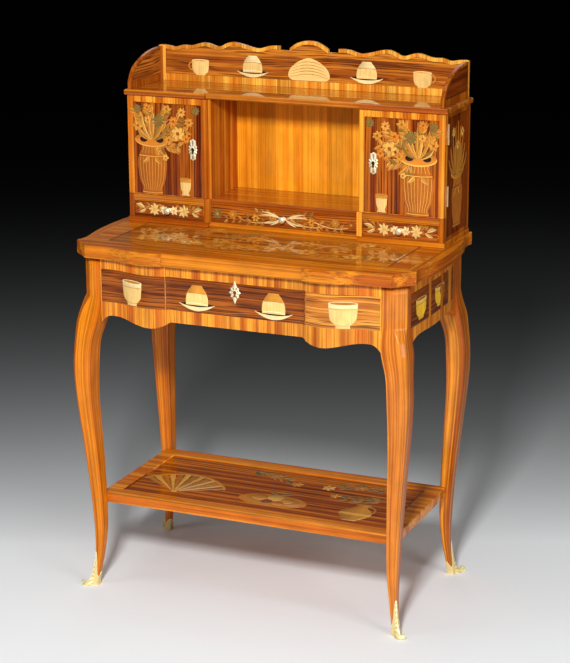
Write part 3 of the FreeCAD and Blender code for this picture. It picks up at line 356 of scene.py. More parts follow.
def inlaid(name, gloss):
    """Finish of the small veneers: each piece's own tint, figured along its own grain and
    burnt in hot sand towards one edge."""
    finish = Finish(name, gloss)
    along, across, _ = finish.grained("map")
    tint = finish.node("Attribute", {"attribute_name": "tint"}, (), "Color")
    burnt = finish.node("Attribute", {"attribute_name": "sand"}, (), "Fac")
    streak = finish.cloud(along * 12.0, across * 420.0, 0.0)
    fibre = finish.cloud(along * 90.0, across * 2600.0, 0.0, 1.0).rises(0.5, 0.8)
    cloudy = finish.cloud(along * 60.0, across * 60.0, 0.0)
    colour = finish.lit(tint, streak * 0.6 + cloudy * 0.4 + 0.48)
    colour = finish.mix(burnt.rises(0.15, 1.3) * 0.75, colour, (0.16, 0.05, 0.012))
    colour = finish.mix(fibre * 0.18, colour, (0.2, 0.07, 0.02))
    return finish.made(colour, fibre * 0.15 + 0.3, 1.0 - fibre, 0.00003)


inlay = inlaid("inlaid_woods", POLISH)
flat_inlay = inlaid("inlaid_woods_of_flat_tops", MIRROR)


def leaf(picture, root, tip, width, sag, tint, level=2, vein=True):
    """A pointed leaf: its half width is that of a sine, fuller towards the root."""
    path = line_to(root, tip, sag, 11)
    share = np.linspace(0, 1, 11)
    half = width / 2 * (np.sin(np.pi * share ** 0.85) ** 0.85 + 0.04)
    picture.strip(path, half, tint, level=level, sand=0.9, columns=3)
    if vein:
        picture.strip(path[1:-1], 0.00025, INK, level=level + 1, columns=1)


def disc(picture, middle, wide, high, tint, level, sand=0.5):
    """An oval: a level strip of half height high cos(t) at middle + wide sin(t)."""
    turn = np.linspace(-0.995 * math.pi / 2, 0.995 * math.pi / 2, 13)
    path = np.column_stack([middle[0] + wide * np.sin(turn), np.full(13, middle[1])])
    picture.strip(path, high * np.cos(turn), tint, 0.0, level, sand)


def flower(picture, middle, radius, petals, tint, heart=GOLD, wide=0.55, level=4, turn=0.0):
    """An open flower of pointed petals round a small heart."""
    for angle in turn + np.arange(petals) * 2 * math.pi / petals:
        way = np.array([math.cos(angle), math.sin(angle)])
        reach = radius * picture.chance.uniform(0.88, 1.05)
        leaf(picture, middle + 0.12 * radius * way, middle + reach * way, radius * wide,
             radius * picture.chance.uniform(-0.08, 0.08), tint, level, vein=False)
    disc(picture, middle, radius * 0.24, radius * 0.24, heart, level + 1)


def spray(picture, root, tip, sag, leaves, width, shades=(OLIVE, GREEN, TAN), stem=OLIVE):
    """A bowed stem with pairs of leaves that open towards its tip."""
    path = line_to(root, tip, sag, 17)
    picture.strip(path, np.linspace(0.0009, 0.0004, 17), stem, level=1, columns=1)
    for number in range(leaves):
        place = path[int(2 + 13 * number / max(leaves, 1))]
        ahead = path[-1] - path[0]
        ahead = ahead / np.linalg.norm(ahead)
        for hand in (-1, 1):
            lean = hand * picture.chance.uniform(0.5, 0.95)
            way = np.array([ahead[0] * math.cos(lean) - ahead[1] * math.sin(lean),
                            ahead[0] * math.sin(lean) + ahead[1] * math.cos(lean)])
            reach = width * picture.chance.uniform(1.9, 2.7)
            shade = shades[picture.chance.integers(len(shades))]
            leaf(picture, place, place + reach * way, width, hand * width * 0.2, shade)


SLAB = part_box("writing_top")[1].z
kingwood = wood("kingwood_field", "map", (0.58, 0.19, 0.010), (0.34, 0.082, 0.005),
                (0.10, 0.018, 0.002), stripe=0.014, vein=0.0045, swirl=0.02, veins=0.75,
                gloss=MIRROR)
ground = Picture(3)
FIELD_HALF, FIELD_REAR, FRONT_BANDING, TOP_LINE = 0.300, 0.176, 0.038, 0.002
field(ground, (-FIELD_HALF, FIELD_HALF), lambda x, out: np.interp(x, *BOW) + FRONT_BANDING - out,
      FIELD_REAR, TOP_LINE, 90)
ground.lay("writing_top_field", facing_up(SLAB), kingwood, "desk")
garden = Picture(8)
for root, tip, sag, leaves in (
        ((-0.28, -0.06), (-0.14, -0.10), 0.02, 6), ((-0.27, -0.02), (-0.20, 0.03), -0.01, 4),
        ((-0.12, -0.10), (0.02, -0.07), -0.02, 6), ((-0.10, -0.03), (0.00, 0.01), 0.015, 5),
        ((0.26, -0.08), (0.10, -0.09), 0.022, 6), ((0.27, -0.01), (0.13, 0.00), -0.016, 6),
        ((0.08, -0.10), (0.03, -0.02), 0.01, 4), ((-0.18, -0.01), (-0.11, 0.03), 0.01, 4)):
    spray(garden, root, tip, sag, leaves, 0.0125, (GOLD, OLIVE, TAN, ORANGE))
for x, y, radius, petals, tint in (
        (-0.245, -0.085, 0.017, 6, GOLD), (-0.20, -0.045, 0.019, 8, GOLD),
        (-0.145, -0.095, 0.015, 5, HONEY), (-0.155, 0.0, 0.016, 6, TAN),
        (-0.09, -0.06, 0.018, 7, GOLD), (-0.04, -0.095, 0.014, 6, GOLD),
        (-0.03, -0.02, 0.019, 8, ORANGE), (0.03, -0.07, 0.020, 6, GOLD),
        (0.085, -0.02, 0.016, 6, GOLD), (0.11, -0.085, 0.018, 8, GOLD),
        (0.165, -0.045, 0.020, 7, GOLD), (0.205, -0.09, 0.015, 5, HONEY),
        (0.235, -0.03, 0.017, 6, GOLD), (0.27, -0.06, 0.014, 6, TAN),
        (-0.275, -0.02, 0.014, 5, GOLD), (0.20, 0.015, 0.015, 6, HONEY)):
    flower(garden, np.array([x, y]), 1.3 * radius, petals, tint, RUSSET, turn=x * 40)
garden.lay("writing_top_flowers", facing_up(SLAB), flat_inlay, "desk")

# ---------------------------------------------------------------- legs
# Cabriole legs of beech, veneered in tulipwood that runs up the bow, with the outer corner
# canted and every arris rubbed round. The block at the head carries the rails.
MM = 0.001
LEG_AXIS = np.array([327.0, 161.5]) * MM
FOOT, SHOULDER, LEG_HEAD = 8 * MM, 630 * MM, 713.4 * MM
# Height as a part of the leg, then its bow and the half width and cant of its section in mm.
STATIONS = np.array([
    (0.0, 10.0, 6.5, 1.0), (0.084, 2.8, 7.6, 1.0), (0.18, -0.5, 10.5, 1.2),
    (0.293, 1.0, 12.5, 1.8), (0.421, 5.0, 14.5, 2.3), (0.55, 10.1, 16.7, 3.5),
    (0.678, 14.6, 19.0, 4.8), (0.791, 14.5, 21.0, 6.0), (0.863, 10.6, 22.0, 7.4),
    (0.92, 4.0, 25.0, 8.5), (0.958, 0.0, 23.7, 10.0)])
BLOCK = np.array([303.0, 347.0, 137.0, 177.0]) * MM
CANT = {-1: 21 * MM, 1: 9 * MM}
ARRIS = 1.6 * MM


def curved_through(places, values, at):
    """Natural cubic spline: the curve through all values whose bend never jumps."""
    gap = np.diff(places)[:, None]
    slope = np.diff(values, axis=0) / gap
    count = len(places)
    bend = np.zeros((count, count))
    want = np.zeros_like(values)
    bend[0, 0] = bend[-1, -1] = 1.0
    middle = np.arange(1, count - 1)
    bend[middle, middle - 1] = gap[:-1, 0]
    bend[middle, middle] = 2 * (gap[:-1, 0] + gap[1:, 0])
    bend[middle, middle + 1] = gap[1:, 0]
    want[1:-1] = 3 * np.diff(slope, axis=0)
    second = np.linalg.solve(bend, want)
    first = slope - gap * (2 * second[:-1] + second[1:]) / 3
    third = np.diff(second, axis=0) / (3 * gap)
    which = np.clip(np.searchsorted(places, at) - 1, 0, count - 2)
    step = (at - places[which])[:, None]
    return values[which] + step * (first[which] + step * (second[which] + step * third[which]))


def leg_sections(front, at):
    """Near and far side in x, near and far side in y, and cant, at heights up the leg."""
    height = FOOT + STATIONS[:, 0] * (SHOULDER - FOOT)
    middle = LEG_AXIS + STATIONS[:, 1:2] * MM
    half = STATIONS[:, 2:3] * MM
    bowed = np.column_stack([middle[:, :1] - half, middle[:, :1] + half, middle[:, 1:] - half,
                             middle[:, 1:] + half, STATIONS[:, 3] * MM])
    places = np.append(height, SHOULDER)
    return curved_through(places, np.vstack([bowed, [*BLOCK, CANT[front]]]),
                          np.minimum(at, SHOULDER))


def shell(name, grid, maps, material, tube=False):
    """Closed mesh of rings of points, row by row, with a face on each end or, for a tube, the
    last row sewn to the first. maps has one column more than grid, for the seam, and a row
    more for a tube."""
    rows, columns = grid.shape[:2]
    order = np.arange(rows * columns).reshape(rows, columns)
    order = np.hstack([order, order[:, :1]])
    caps = [order[0, -2::-1].tolist(), order[-1, :-1].tolist()]
    if tube:
        order, caps = np.vstack([order, order[:1]]), []
    seam = np.arange(order.size).reshape(order.shape)
    quads, corners = (np.stack([a[:-1, :-1], a[:-1, 1:], a[1:, 1:], a[1:, :-1]], -1)
                      .reshape(-1, 4) for a in (order, seam))
    faces = quads.tolist() + caps
    mesh = bpy.data.meshes.new(name)
    mesh.from_pydata(grid.reshape(-1, 3), [], faces)
    places = np.zeros((len(mesh.loops), 2))
    places[:corners.size] = maps.reshape(-1, 2)[corners.ravel()]
    mesh.uv_layers.new(name="grain").uv.foreach_set("vector", places.ravel())
    mesh.materials.append(material)
    mesh.shade_smooth()
    return shown(name, mesh)


def cabriole(name, side, front):
    """A leg: at each height a rectangle with its outer corner canted, each of the five
    corners a parabola from one face to the next."""
    height = np.concatenate([np.linspace(FOOT, SHOULDER, 96),
                             np.linspace(SHOULDER, LEG_HEAD, 5)[1:]])
    near_x, far_x, near_y, far_y, cant = leg_sections(front, height).T
    corners = np.stack([np.stack([near_x, near_y], -1), np.stack([far_x, near_y], -1),
                        np.stack([far_x, far_y - cant], -1), np.stack([far_x - cant, far_y], -1),
                        np.stack([near_x, far_y], -1)], 1)
    before, after = np.roll(corners, 1, 1) - corners, np.roll(corners, -1, 1) - corners
    reach = [np.linalg.norm(way, axis=2, keepdims=True) for way in (before, after)]
    soft = np.minimum(ARRIS, 0.45 * np.minimum(*reach))
    start, end = (corners + way / length * soft for way, length in zip((before, after), reach))
    turn = np.linspace(0, 1, 5)[None, None, :, None]
    ring = (start[:, :, None] * (1 - turn) ** 2 + corners[:, :, None] * 2 * turn * (1 - turn)
            + end[:, :, None] * turn ** 2).reshape(len(height), -1, 2)
    around = np.vstack([np.zeros(len(height)),
                        np.linalg.norm(np.diff(ring, axis=1, append=ring[:, :1]), axis=2)
                        .cumsum(1).T]).T
    maps = np.stack([np.broadcast_to(height[:, None], around.shape),
                     0.12 * around / around[:, -1:] + 0.2 * (side + 2 * front)], -1)
    grid = np.dstack([side * ring[..., 0], front * ring[..., 1],
                      np.broadcast_to(height[:, None], ring.shape[:2])])
    if side * front < 0:
        grid, maps = np.roll(grid[:, ::-1], 1, 1), maps[:, ::-1]
    # The rear right leg takes the darker copy of the leg wood: painted shade.
    piece = shell(name + "_veneered", grid, maps, leg_woods[(side > 0) * (1 + (front > 0))])
    piece.modifiers.new("sheen", "WEIGHTED_NORMAL")
    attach(piece, "desk")
    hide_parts(name)


# Leg woods: golden on the left legs and ruddy on the front right, which are tones of the wood, and
# a darker copy on the rear right that is painted shade.
leg_woods = [wood("tulipwood_legs_" + name, "map", *colours, stripe=0.007, vein=0.0022,
                  swirl=0.003, veins=0.5)
             for name, colours in (
                 ("golden", ((0.78, 0.24, 0.010), (0.56, 0.120, 0.005), (0.26, 0.040, 0.002))),
                 ("ruddy", ((0.72, 0.23, 0.028), (0.50, 0.098, 0.011), (0.18, 0.022, 0.003))),
                 ("darkened_as_painted_shade", ((0.78, 0.28, 0.024), (0.42, 0.092, 0.009), (0.10, 0.015, 0.002))))]
HANDS, ROWS = ((-1, "left"), (1, "right")), ((-1, "front"), (1, "rear"))
for front, row in ROWS:
    for side, hand in HANDS:
        cabriole(f"leg_{row}_{hand}", side, front)

# ---------------------------------------------------------------- frieze
# Rails and drawer front of the frieze, crossbanded in upright tulipwood round dark panels of
# kingwood, in which cups and bowls of pale maple and satinwood are inlaid.
# A darker copy of the upright tulipwood for the rear rail, the cabinet sides and the gallery ends:
# painted shade on faces that turn away from the lamps.
painted_shade_tulipwood = wood("tulipwood_darkened_for_painted_shade", "z", (0.50, 0.13, 0.007), (0.30, 0.056, 0.003),
                   (0.10, 0.014, 0.002), leaf=0.034)
dress(painted_shade_tulipwood, "rear_rail", ease=0.0008)
dress(tulip_z, "side_rail", "frieze_drawer_front", ease=0.0008)
BAND_FOOT, BAND_HEAD, FINE_LINE = 0.6225, 0.6890, 0.0006
FRONT_PROUD, SIDE_PROUD = 0.00012, 0.0002


UPRIGHT = math.pi / 2


def profile(shape, share):
    """The smooth curve through pairs of a place and a width, read at some places."""
    shape = np.array(shape, float)
    return curved_through(shape[:, 0], shape[:, 1:], share)[:, 0]


def turned(picture, foot, high, wide, shape, tint, level=2, grain=UPRIGHT, sand=0.6,
           part=(0.0, 1.0)):
    """A turned vessel or a part of one, upright on its foot. shape holds pairs of a part of
    its height and a half width as a part of its width."""
    share = np.linspace(*part, 19)
    half = np.maximum(profile(shape, share), 0.004) * wide
    path = np.column_stack([np.full(19, foot[0]), foot[1] + high * share])
    picture.strip(path, half, tint, grain, level, sand, columns=6)


def hoop(picture, x, half, height, sag, thick, tint, level):
    """A fine line round a vessel, seen a little from above."""
    picture.strip(line_to((x - half, height), (x + half, height), -sag), thick, tint,
                  level=level, columns=1)


BOWL = ((0, 0.25), (0.08, 0.24), (0.15, 0.27), (0.26, 0.385), (0.45, 0.46), (0.7, 0.485),
        (0.9, 0.49), (1, 0.5))
BELL = ((0, 0.49), (0.12, 0.5), (0.4, 0.485), (0.62, 0.43), (0.8, 0.34), (0.93, 0.25), (1, 0.22))


def bowl(picture, x, foot, wide, high, tint=CREAM, inside=TAN, lip=PALE):
    """A footed bowl seen a little from above, so that its rim shows as an oval."""
    body = high * 0.93
    rim = foot + body
    turned(picture, (x, foot), body, wide, BOWL, tint)
    turned(picture, (x, foot), body, wide * 1.01, BOWL, lip, 3, 0.0, part=(0.80, 0.97))
    disc(picture, (x, rim), wide * 0.5, high * 0.075, lip, 3, sand=0.2)
    disc(picture, (x, rim + high * 0.004), wide * 0.455, high * 0.05, inside, 4)
    for rise, half in ((0.135, 0.26), (0.74, 0.475)):
        hoop(picture, x, half * wide, foot + rise * high, 0.035 * wide, 0.0003, TAN, 5)


def cup_and_saucer(picture, x, foot, wide, high, cap=GOLD):
    """A bell-shaped cup turned down on its saucer, whose dark hollow shows behind it."""
    rim = foot + 0.20 * high
    hollow = line_to((x - 0.48 * wide, rim + 0.05 * high), (x + 0.48 * wide, rim + 0.05 * high),
                     -0.02 * high, 17)
    share = np.sin(np.linspace(0, np.pi, 17))
    picture.strip(hollow, 0.105 * high * (share ** 0.8 + 0.03), INK, level=1)
    saucer = line_to((x - 0.5 * wide, rim + 0.06 * high), (x + 0.5 * wide, rim + 0.06 * high),
                     -0.19 * high, 17)
    picture.strip(saucer, 0.075 * high * (share ** 1.2 + 0.10), PALE, level=2, sand=0.35)
    bell = (x, rim + 0.015 * high), 0.785 * high, 0.62 * wide, BELL
    turned(picture, *bell, CREAM, 3, sand=0.35)
    turned(picture, *bell, cap, 4, 0.0, sand=0.8, part=(0.60, 1.0))
    hoop(picture, x, 0.30 * wide, rim + 0.055 * high, -0.03 * wide, 0.0009, PALE, 5)
    hoop(picture, x, 0.27 * wide, rim + 0.46 * high, -0.02 * wide, 0.0003, RUSSET, 5)


def on_front(a, b, up):
    """The bowed face of the drawer front, with the panels a hair proud of it."""
    return a, np.interp(a, *BOW) - up - FRONT_PROUD, b


# The right-hand panel takes a paler copy of the frieze kingwood: painted light on the panel that
# turns towards the lamps.
frieze_wood, frieze_wood_painted_lighter = (
    wood("kingwood_frieze_" + name, "map", *colours, stripe=0.010, vein=0.0024, swirl=0.026,
         veins=0.85)
    for name, colours in (
        ("dark", ((0.42, 0.105, 0.008), (0.19, 0.038, 0.004), (0.045, 0.007, 0.002))),
        ("pale", ((0.76, 0.31, 0.045), (0.46, 0.130, 0.014), (0.12, 0.022, 0.005)))))
side_frieze_wood = wood("kingwood_side_frieze", "map", (0.30, 0.068, 0.008),
                        (0.15, 0.030, 0.004), (0.04, 0.007, 0.002), stripe=0.010, vein=0.003,
                        swirl=0.02, veins=0.8)
# The right-hand panel's lighter wood is painted light.
for hand, left, right, veneer in (("left", -0.2995, -0.1512, frieze_wood),
                                  ("centre", -0.1490, 0.1490, frieze_wood),
                                  ("right", 0.1512, 0.2995, frieze_wood_painted_lighter)):
    ground = Picture(11)
    field(ground, (left, right), BAND_FOOT, BAND_HEAD, FINE_LINE)
    ground.lay("frieze_panel_" + hand, on_front, veneer, "frieze_drawer")
service = Picture(12)
bowl(service, -0.2247, 0.6235, 0.049, 0.052)
bowl(service, 0.2280, 0.6228, 0.055, 0.053)
cup_and_saucer(service, -0.0825, 0.6262, 0.078, 0.0515)
cup_and_saucer(service, 0.0825, 0.6250, 0.080, 0.0525)
service.lay("frieze_cups", on_front, inlay, "frieze_drawer")

for side, hand in HANDS:
    solid = np.abs([v.co for v in NODES["side_rail_" + hand].data.vertices])
    outer = solid[solid[:, 0] > 0.3445]
    run = np.linspace(0, 0.1365, 24)
    swell = np.array([outer[np.abs(outer[:, 1] - place) < 0.006, 0].max(initial=0.3465)
                      for place in run])

    def on_side(a, b, up):
        """The swelled face of a side rail, read from front to back on the right."""
        return side * (np.interp(np.abs(a), run, swell) + up + SIDE_PROUD), side * a, b

    ground = Picture(20 + side)
    for start, end in ((-0.1350, 0.0750), (0.1010, 0.1090)):
        field(ground, (side * start, side * end), BAND_FOOT, BAND_HEAD, FINE_LINE)
    ground.lay("side_frieze_panel_" + hand, on_side, side_frieze_wood, "desk")
    service = Picture(30 + side)
    for place, foot, wide in ((-0.084, 0.6295, 0.054), (0.021, 0.6310, 0.057)):
        bowl(service, side * place, foot, wide, 0.043, (1.0, 0.54, 0.030), RUSSET,
             (1.0, 0.62, 0.14))
    service.lay("side_frieze_cups_" + hand, on_side, inlay, "desk")

# ---------------------------------------------------------------- drawer linings and runners
# Linings, runners and the front rail behind the frieze drawer are plain oak, planed and left
# dry inside the carcass.
def oak(name, grain):
    """Dry oak with open pores and paler flecks, hardly any gloss."""
    finish = Finish(name, {"IOR": 1.4, "Specular IOR Level": 0.3})
    place = finish.grained(grain)
    colour, pores = figured(finish, place, (0.60, 0.40, 0.20), (0.46, 0.28, 0.12),
                            (0.22, 0.11, 0.04), 0.03, 0.004, 0.01, 0.45)
    return finish.made(colour, pores * 0.2 + 0.62, 1.0 - pores, 0.0001)


oak_x, oak_y = oak("oak_lengthwise", "x"), oak("oak_deepwise", "y")
dress(oak_x, "front_rail", "frieze_drawer_back", "frieze_drawer_bottom")
dress(oak_y, "drawer_runner", "frieze_drawer_side", "small_drawer_box")

# ---------------------------------------------------------------- cabinet case
# Case of the upper cabinet: sides, back and dividers veneered in upright tulipwood, base, shelf
# and stepped top board in tulipwood laid lengthwise. Each outer side has a dark panel with a vase.
niche_wood = wood("tulipwood_niche", "z", (0.94, 0.37, 0.020), (0.80, 0.26, 0.009),
                  (0.42, 0.090, 0.004), stripe=0.022, vein=0.0026, swirl=0.009, veins=0.36,
                  leaf=0.058)
cornice_wood = wood("tulipwood_cornice", "x", (0.64, 0.205, 0.014), (0.38, 0.078, 0.005),
                    (0.12, 0.017, 0.002), swirl=0.0015, gloss=MIRROR)
dress(niche_wood, "cabinet_back")
dress(tulip_z, "divider", ease=0.0008)
# The cabinet sides take the darker tulipwood: painted shade.
dress(painted_shade_tulipwood, "cabinet_side", ease=0.0008)
dress(tulip_x, "cabinet_base", ease=0.0008)
dress(cornice_wood, "cabinet_shelf", ease=0.0008)
dress(cornice_wood, "cabinet_top", ease=0.0004)

URN = ((0, 0.35), (0.03, 0.36), (0.08, 0.33), (0.22, 0.40), (0.42, 0.47), (0.60, 0.5),
       (0.74, 0.45), (0.86, 0.36), (0.94, 0.37), (1, 0.46))


def urn(picture, x, foot, wide, high, tint, line, lip=ORANGE):
    """A fluted urn with a flared lip, seen a little from above. Its lines follow its swell."""
    turned(picture, (x, foot), high, 0.92 * wide, URN, tint, 2, sand=0.75)
    for start, end, flutes in ((0.07, 0.70, 9), (0.78, 0.95, 7)):
        share = np.linspace(start, end, 15)
        half = profile(URN, share) * 0.92 * wide
        for flute in np.linspace(-0.84, 0.84, flutes):
            path = np.column_stack([x + flute * half, foot + share * high])
            picture.strip(path, 0.00045, line, level=3, columns=1)
    for rise, half in ((0.04, 0.31), (0.74, 0.40), (0.96, 0.34)):
        hoop(picture, x, half * wide, foot + rise * high, 0.02 * wide, 0.0008, line, 4)
    for hand in (-1, 1):
        leaf(picture, (x + hand * 0.10 * wide, foot + 0.72 * high),
             (x + hand * 0.30 * wide, foot + 0.60 * high), 0.10 * wide, -hand * 0.03 * wide,
             line, 5)
    mouth = foot + 1.04 * high
    disc(picture, (x, mouth), 0.53 * wide, 0.135 * high, line, 4, sand=1.0)
    disc(picture, (x, mouth + 0.008 * high), 0.50 * wide, 0.115 * high, lip, 5, sand=0.9)
    for hand in (-1, 1):
        disc(picture, (x + hand * 0.25 * wide, mouth + 0.010 * high), 0.12 * wide, 0.055 * high,
             INK, 6, sand=0)


side_wood = wood("kingwood_upright_dark", "map", (0.30, 0.056, 0.005), (0.14, 0.023, 0.003),
                 (0.05, 0.008, 0.002), stripe=0.008, vein=0.003, swirl=0.008, veins=0.75)
FRONT_BORDER, REAR_BORDER, SIDE_FOOT, SIDE_HEAD, SIDE_LINE = 0.0155, 0.0125, 0.7605, 0.9965, 0.001


def facing_aside(side, place, turn=1):
    """The places of a picture on an upright face of a side board: its outer face, or with
    turn -1 its inner one, each read from its own left."""
    return lambda a, b, up: (side * (place + turn * up), side * turn * a, b)


for side, hand in HANDS:
    low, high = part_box("cabinet_side_" + hand)
    on_case = facing_aside(side, max(abs(low.x), abs(high.x)))
    ground = Picture(40 + side)
    field(ground, (side * (low.y + FRONT_BORDER), side * (high.y - REAR_BORDER)), SIDE_FOOT,
          SIDE_HEAD, SIDE_LINE, grain=UPRIGHT)
    ground.lay("cabinet_side_panel_" + hand, on_case, side_wood, "desk")
    vase = Picture(44 + side)
    middle = side * (low.y + high.y) / 2
    urn(vase, middle, 0.770, 0.074, 0.108, RUSSET, GOLD, TAN)
    for lean, reach in ((-1.1, 0.050), (-0.75, 0.070), (-0.35, 0.090), (0.05, 0.098),
                        (0.4, 0.086), (0.8, 0.066), (1.1, 0.046)):
        tip = (middle + 0.04 * lean, 0.886 + reach)
        leaf(vase, (middle + 0.012 * lean, 0.880), tip, 0.0080, -0.005 * lean, ORANGE, 7)
        leaf(vase, (middle + 0.012 * lean, 0.880), (middle + 0.05 * lean, 0.884 + 0.6 * reach),
             0.0065, -0.008 * lean, GOLD, 8)
    for lean, reach in ((-0.9, 0.078), (0.9, 0.072), (0.0, 0.050)):
        flower(vase, np.array([middle + 0.03 * lean, 0.886 + reach]), 0.0105, 7, HONEY, RUSSET,
               turn=lean, level=9)
    vase.lay("cabinet_side_vase_" + hand, on_case, inlay, "desk")

# ---------------------------------------------------------------- doors
# Each door is a clamped board with a light tulipwood border round a panel of upright kingwood,
# inlaid with an urn of flowers and, at its foot, a small beaker.
_, DOOR_FACE, DOOR_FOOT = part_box("door_left")[0]
dress(tulip_z, "door_left", "door_right", ease=0.0012)
door_wood = wood("kingwood_doors", "map", (0.50, 0.12, 0.008), (0.17, 0.022, 0.003),
                 (0.03, 0.004, 0.002), stripe=0.017, vein=0.0019, swirl=0.008, veins=0.85)
# The dark line runs round three sides of a door's panel, and not along the foot of the door.
PANEL_NEAR, PANEL_FAR, PANEL_FOOT, PANEL_HEAD = 0.1805, 0.3350, DOOR_FOOT + 0.0012, 0.9930
DOOR_LINE = 0.0008
BEAKER = ((0, 0.36), (0.06, 0.34), (0.12, 0.3), (0.3, 0.36), (0.7, 0.46), (1, 0.5))


def facing_front(plane):
    """The places of a picture on an upright face that looks forward."""
    return lambda a, b, up: (a, plane - up, b)


for side, hand in HANDS:
    ground = Picture(50 + side)
    field(ground, (side * PANEL_NEAR, side * PANEL_FAR),
          lambda place, out: np.full(len(place), PANEL_FOOT), PANEL_HEAD, DOOR_LINE,
          grain=UPRIGHT)
    on_door = facing_front(DOOR_FACE)
    ground.lay("door_panel_" + hand, on_door, door_wood, "door_" + hand)
    bouquet = Picture(60 + side)
    x, mouth = side * 0.2935, DOOR_FOOT + 0.118
    urn(bouquet, x, DOOR_FOOT + 0.001, 0.074, 0.110, (0.46, 0.125, 0.012),
        ROSE if side < 0 else HONEY)
    for to_x, to_z, sag in ((0.326, 0.950, -0.009), (0.333, 0.966, -0.008), (0.316, 0.973, -0.006),
                            (0.300, 0.966, -0.002), (0.291, 0.978, 0.002), (0.279, 0.958, 0.004),
                            (0.268, 0.974, 0.008), (0.260, 0.950, 0.009)):
        tint = (ROSE, GOLD, HONEY, OLIVE)[bouquet.chance.integers(4)]
        leaf(bouquet, (x + 0.10 * (side * to_x - x), mouth - 0.002), (side * to_x, to_z),
             0.0064, side * sag, tint, 7)
    for from_x, from_z, to_x, to_z, sag in (
            (0.300, 0.940, 0.332, 0.985, -0.006), (0.296, 0.940, 0.305, 0.989, 0.003),
            (0.286, 0.940, 0.262, 0.988, 0.008), (0.280, 0.935, 0.228, 0.978, 0.014),
            (0.276, 0.930, 0.206, 0.952, 0.016), (0.272, 0.925, 0.222, 0.915, 0.018),
            (0.268, 0.922, 0.262, 0.884, 0.010)):
        spray(bouquet, (side * from_x, from_z), (side * to_x, to_z), side * sag, 7, 0.0070,
              (TAN, GOLD, OLIVE, ROSE, ORANGE), TAN)
    for to_x, to_z, radius, petals, tint in (
            (0.325, 0.979, 0.0100, 9, GREEN), (0.325, 0.944, 0.0120, 6, GOLD),
            (0.303, 0.983, 0.0095, 7, ORANGE), (0.277, 0.957, 0.0150, 11, GREEN),
            (0.258, 0.982, 0.0105, 6, GOLD), (0.243, 0.957, 0.0120, 8, ORANGE),
            (0.224, 0.977, 0.0110, 8, ROSE), (0.207, 0.957, 0.0110, 7, GOLD),
            (0.233, 0.932, 0.0170, 7, HONEY), (0.262, 0.880, 0.0075, 5, HONEY),
            (0.302, 0.957, 0.0090, 6, ROSE), (0.254, 0.918, 0.0100, 7, GOLD),
            (0.214, 0.922, 0.0100, 6, ORANGE), (0.192, 0.981, 0.0105, 9, GREEN)):
        flower(bouquet, np.array([side * to_x, to_z]), radius, petals, tint, RUSSET,
               4 / petals, 9, to_z * 30)
    # A dark oval on the door panel behind each keyhole: painted shade for the depth of the
    # keyhole.
    keyhole = side * (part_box("door_escutcheon_right")[0].x + 0.0110)
    disc(bouquet, (keyhole, 0.9000), 0.0048, 0.0090, INK, 2, sand=0)
    place = (side * 0.217, DOOR_FOOT + 0.003)
    turned(bouquet, place, 0.036, 0.026, BEAKER, CREAM)
    turned(bouquet, place, 0.036, 0.0265, BEAKER, GOLD, 3, part=(0.78, 1.0))
    disc(bouquet, (place[0], place[1] + 0.036), 0.0128, 0.0022, TAN, 4)
    bouquet.lay("door_bouquet_" + hand, on_door, inlay, "door_" + hand)

# ---------------------------------------------------------------- small drawers
# Three shallow drawers of oak behind dark kingwood fronts, each with a spray of pale flowers
# that springs from the knob.
spray_wood = wood("kingwood_small_drawers", "map", (0.54, 0.14, 0.014), (0.26, 0.048, 0.006),
                  (0.06, 0.009, 0.003), stripe=0.008, vein=0.0024, swirl=0.016, veins=0.8)
dress(tulip_x, "small_drawer_front", ease=0.0008)
DRAWER_BORDER, DRAWER_LINE = 0.0026, 0.001
for number, hand in enumerate(("left", "centre", "right")):
    low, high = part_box("small_drawer_front_" + hand)
    middle, reach = (low.x + high.x) / 2, (high.x - low.x) / 2
    level_z = (low.z + high.z) / 2
    on_drawer = facing_front(low.y)
    ground = Picture(70 + number)
    field(ground, (low.x + DRAWER_BORDER, high.x - DRAWER_BORDER), low.z + DRAWER_BORDER,
          high.z - DRAWER_BORDER, DRAWER_LINE)
    ground.lay("small_drawer_panel_" + hand, on_drawer, spray_wood, "small_drawer_" + hand)
    flowers = Picture(80 + number)
    for way in (-1, 1):
        def at(share, rise):
            return np.array([middle + way * share * reach, level_z + rise])
        if hand == "centre":
            for start, end, sag in ((0.05, 0.5, 0.009), (0.42, 0.93, -0.008),
                                    (0.1, 0.62, -0.010)):
                spray(flowers, at(start, 0.0), at(end, 0.004 * sag / abs(sag)), way * sag, 4,
                      0.0052, (ROSE, TAN, GOLD, OLIVE), CREAM)
            for end, rise, sag in ((0.30, 0.0125, 0.003), (0.34, 0.004, 0.004),
                                   (0.28, -0.011, -0.003), (0.18, -0.014, -0.002)):
                leaf(flowers, at(0.03, 0.0), at(end, rise), 0.0036, way * sag, PALE, 5,
                     vein=False)
            flower(flowers, at(0.38, -0.002), 0.0095, 6, GOLD, RUSSET)
            flower(flowers, at(0.70, 0.001), 0.0105, 8, TAN, GOLD)
            flower(flowers, at(0.91, 0.000), 0.0110, 9, GREEN if way < 0 else RUSSET, GOLD)
        else:
            spray(flowers, at(0.08, 0.0), at(0.92, 0.004), way * 0.004, 7, 0.0055,
                  (TAN, GOLD, RUSSET), TAN)
            flower(flowers, at(0.42, 0.000), 0.0142, 8, CREAM, HONEY, 0.42)
            flower(flowers, at(0.14, 0.000), 0.0105, 7, PALE, HONEY)
            leaf(flowers, at(0.70, 0.001), at(0.95, 0.008), 0.0075, way * 0.002, CREAM, 4)
            leaf(flowers, at(0.66, 0.0), at(0.86, -0.008), 0.006, -way * 0.002, CREAM, 4)
    flowers.lay("small_drawer_flowers_" + hand, on_drawer, inlay, "small_drawer_" + hand)

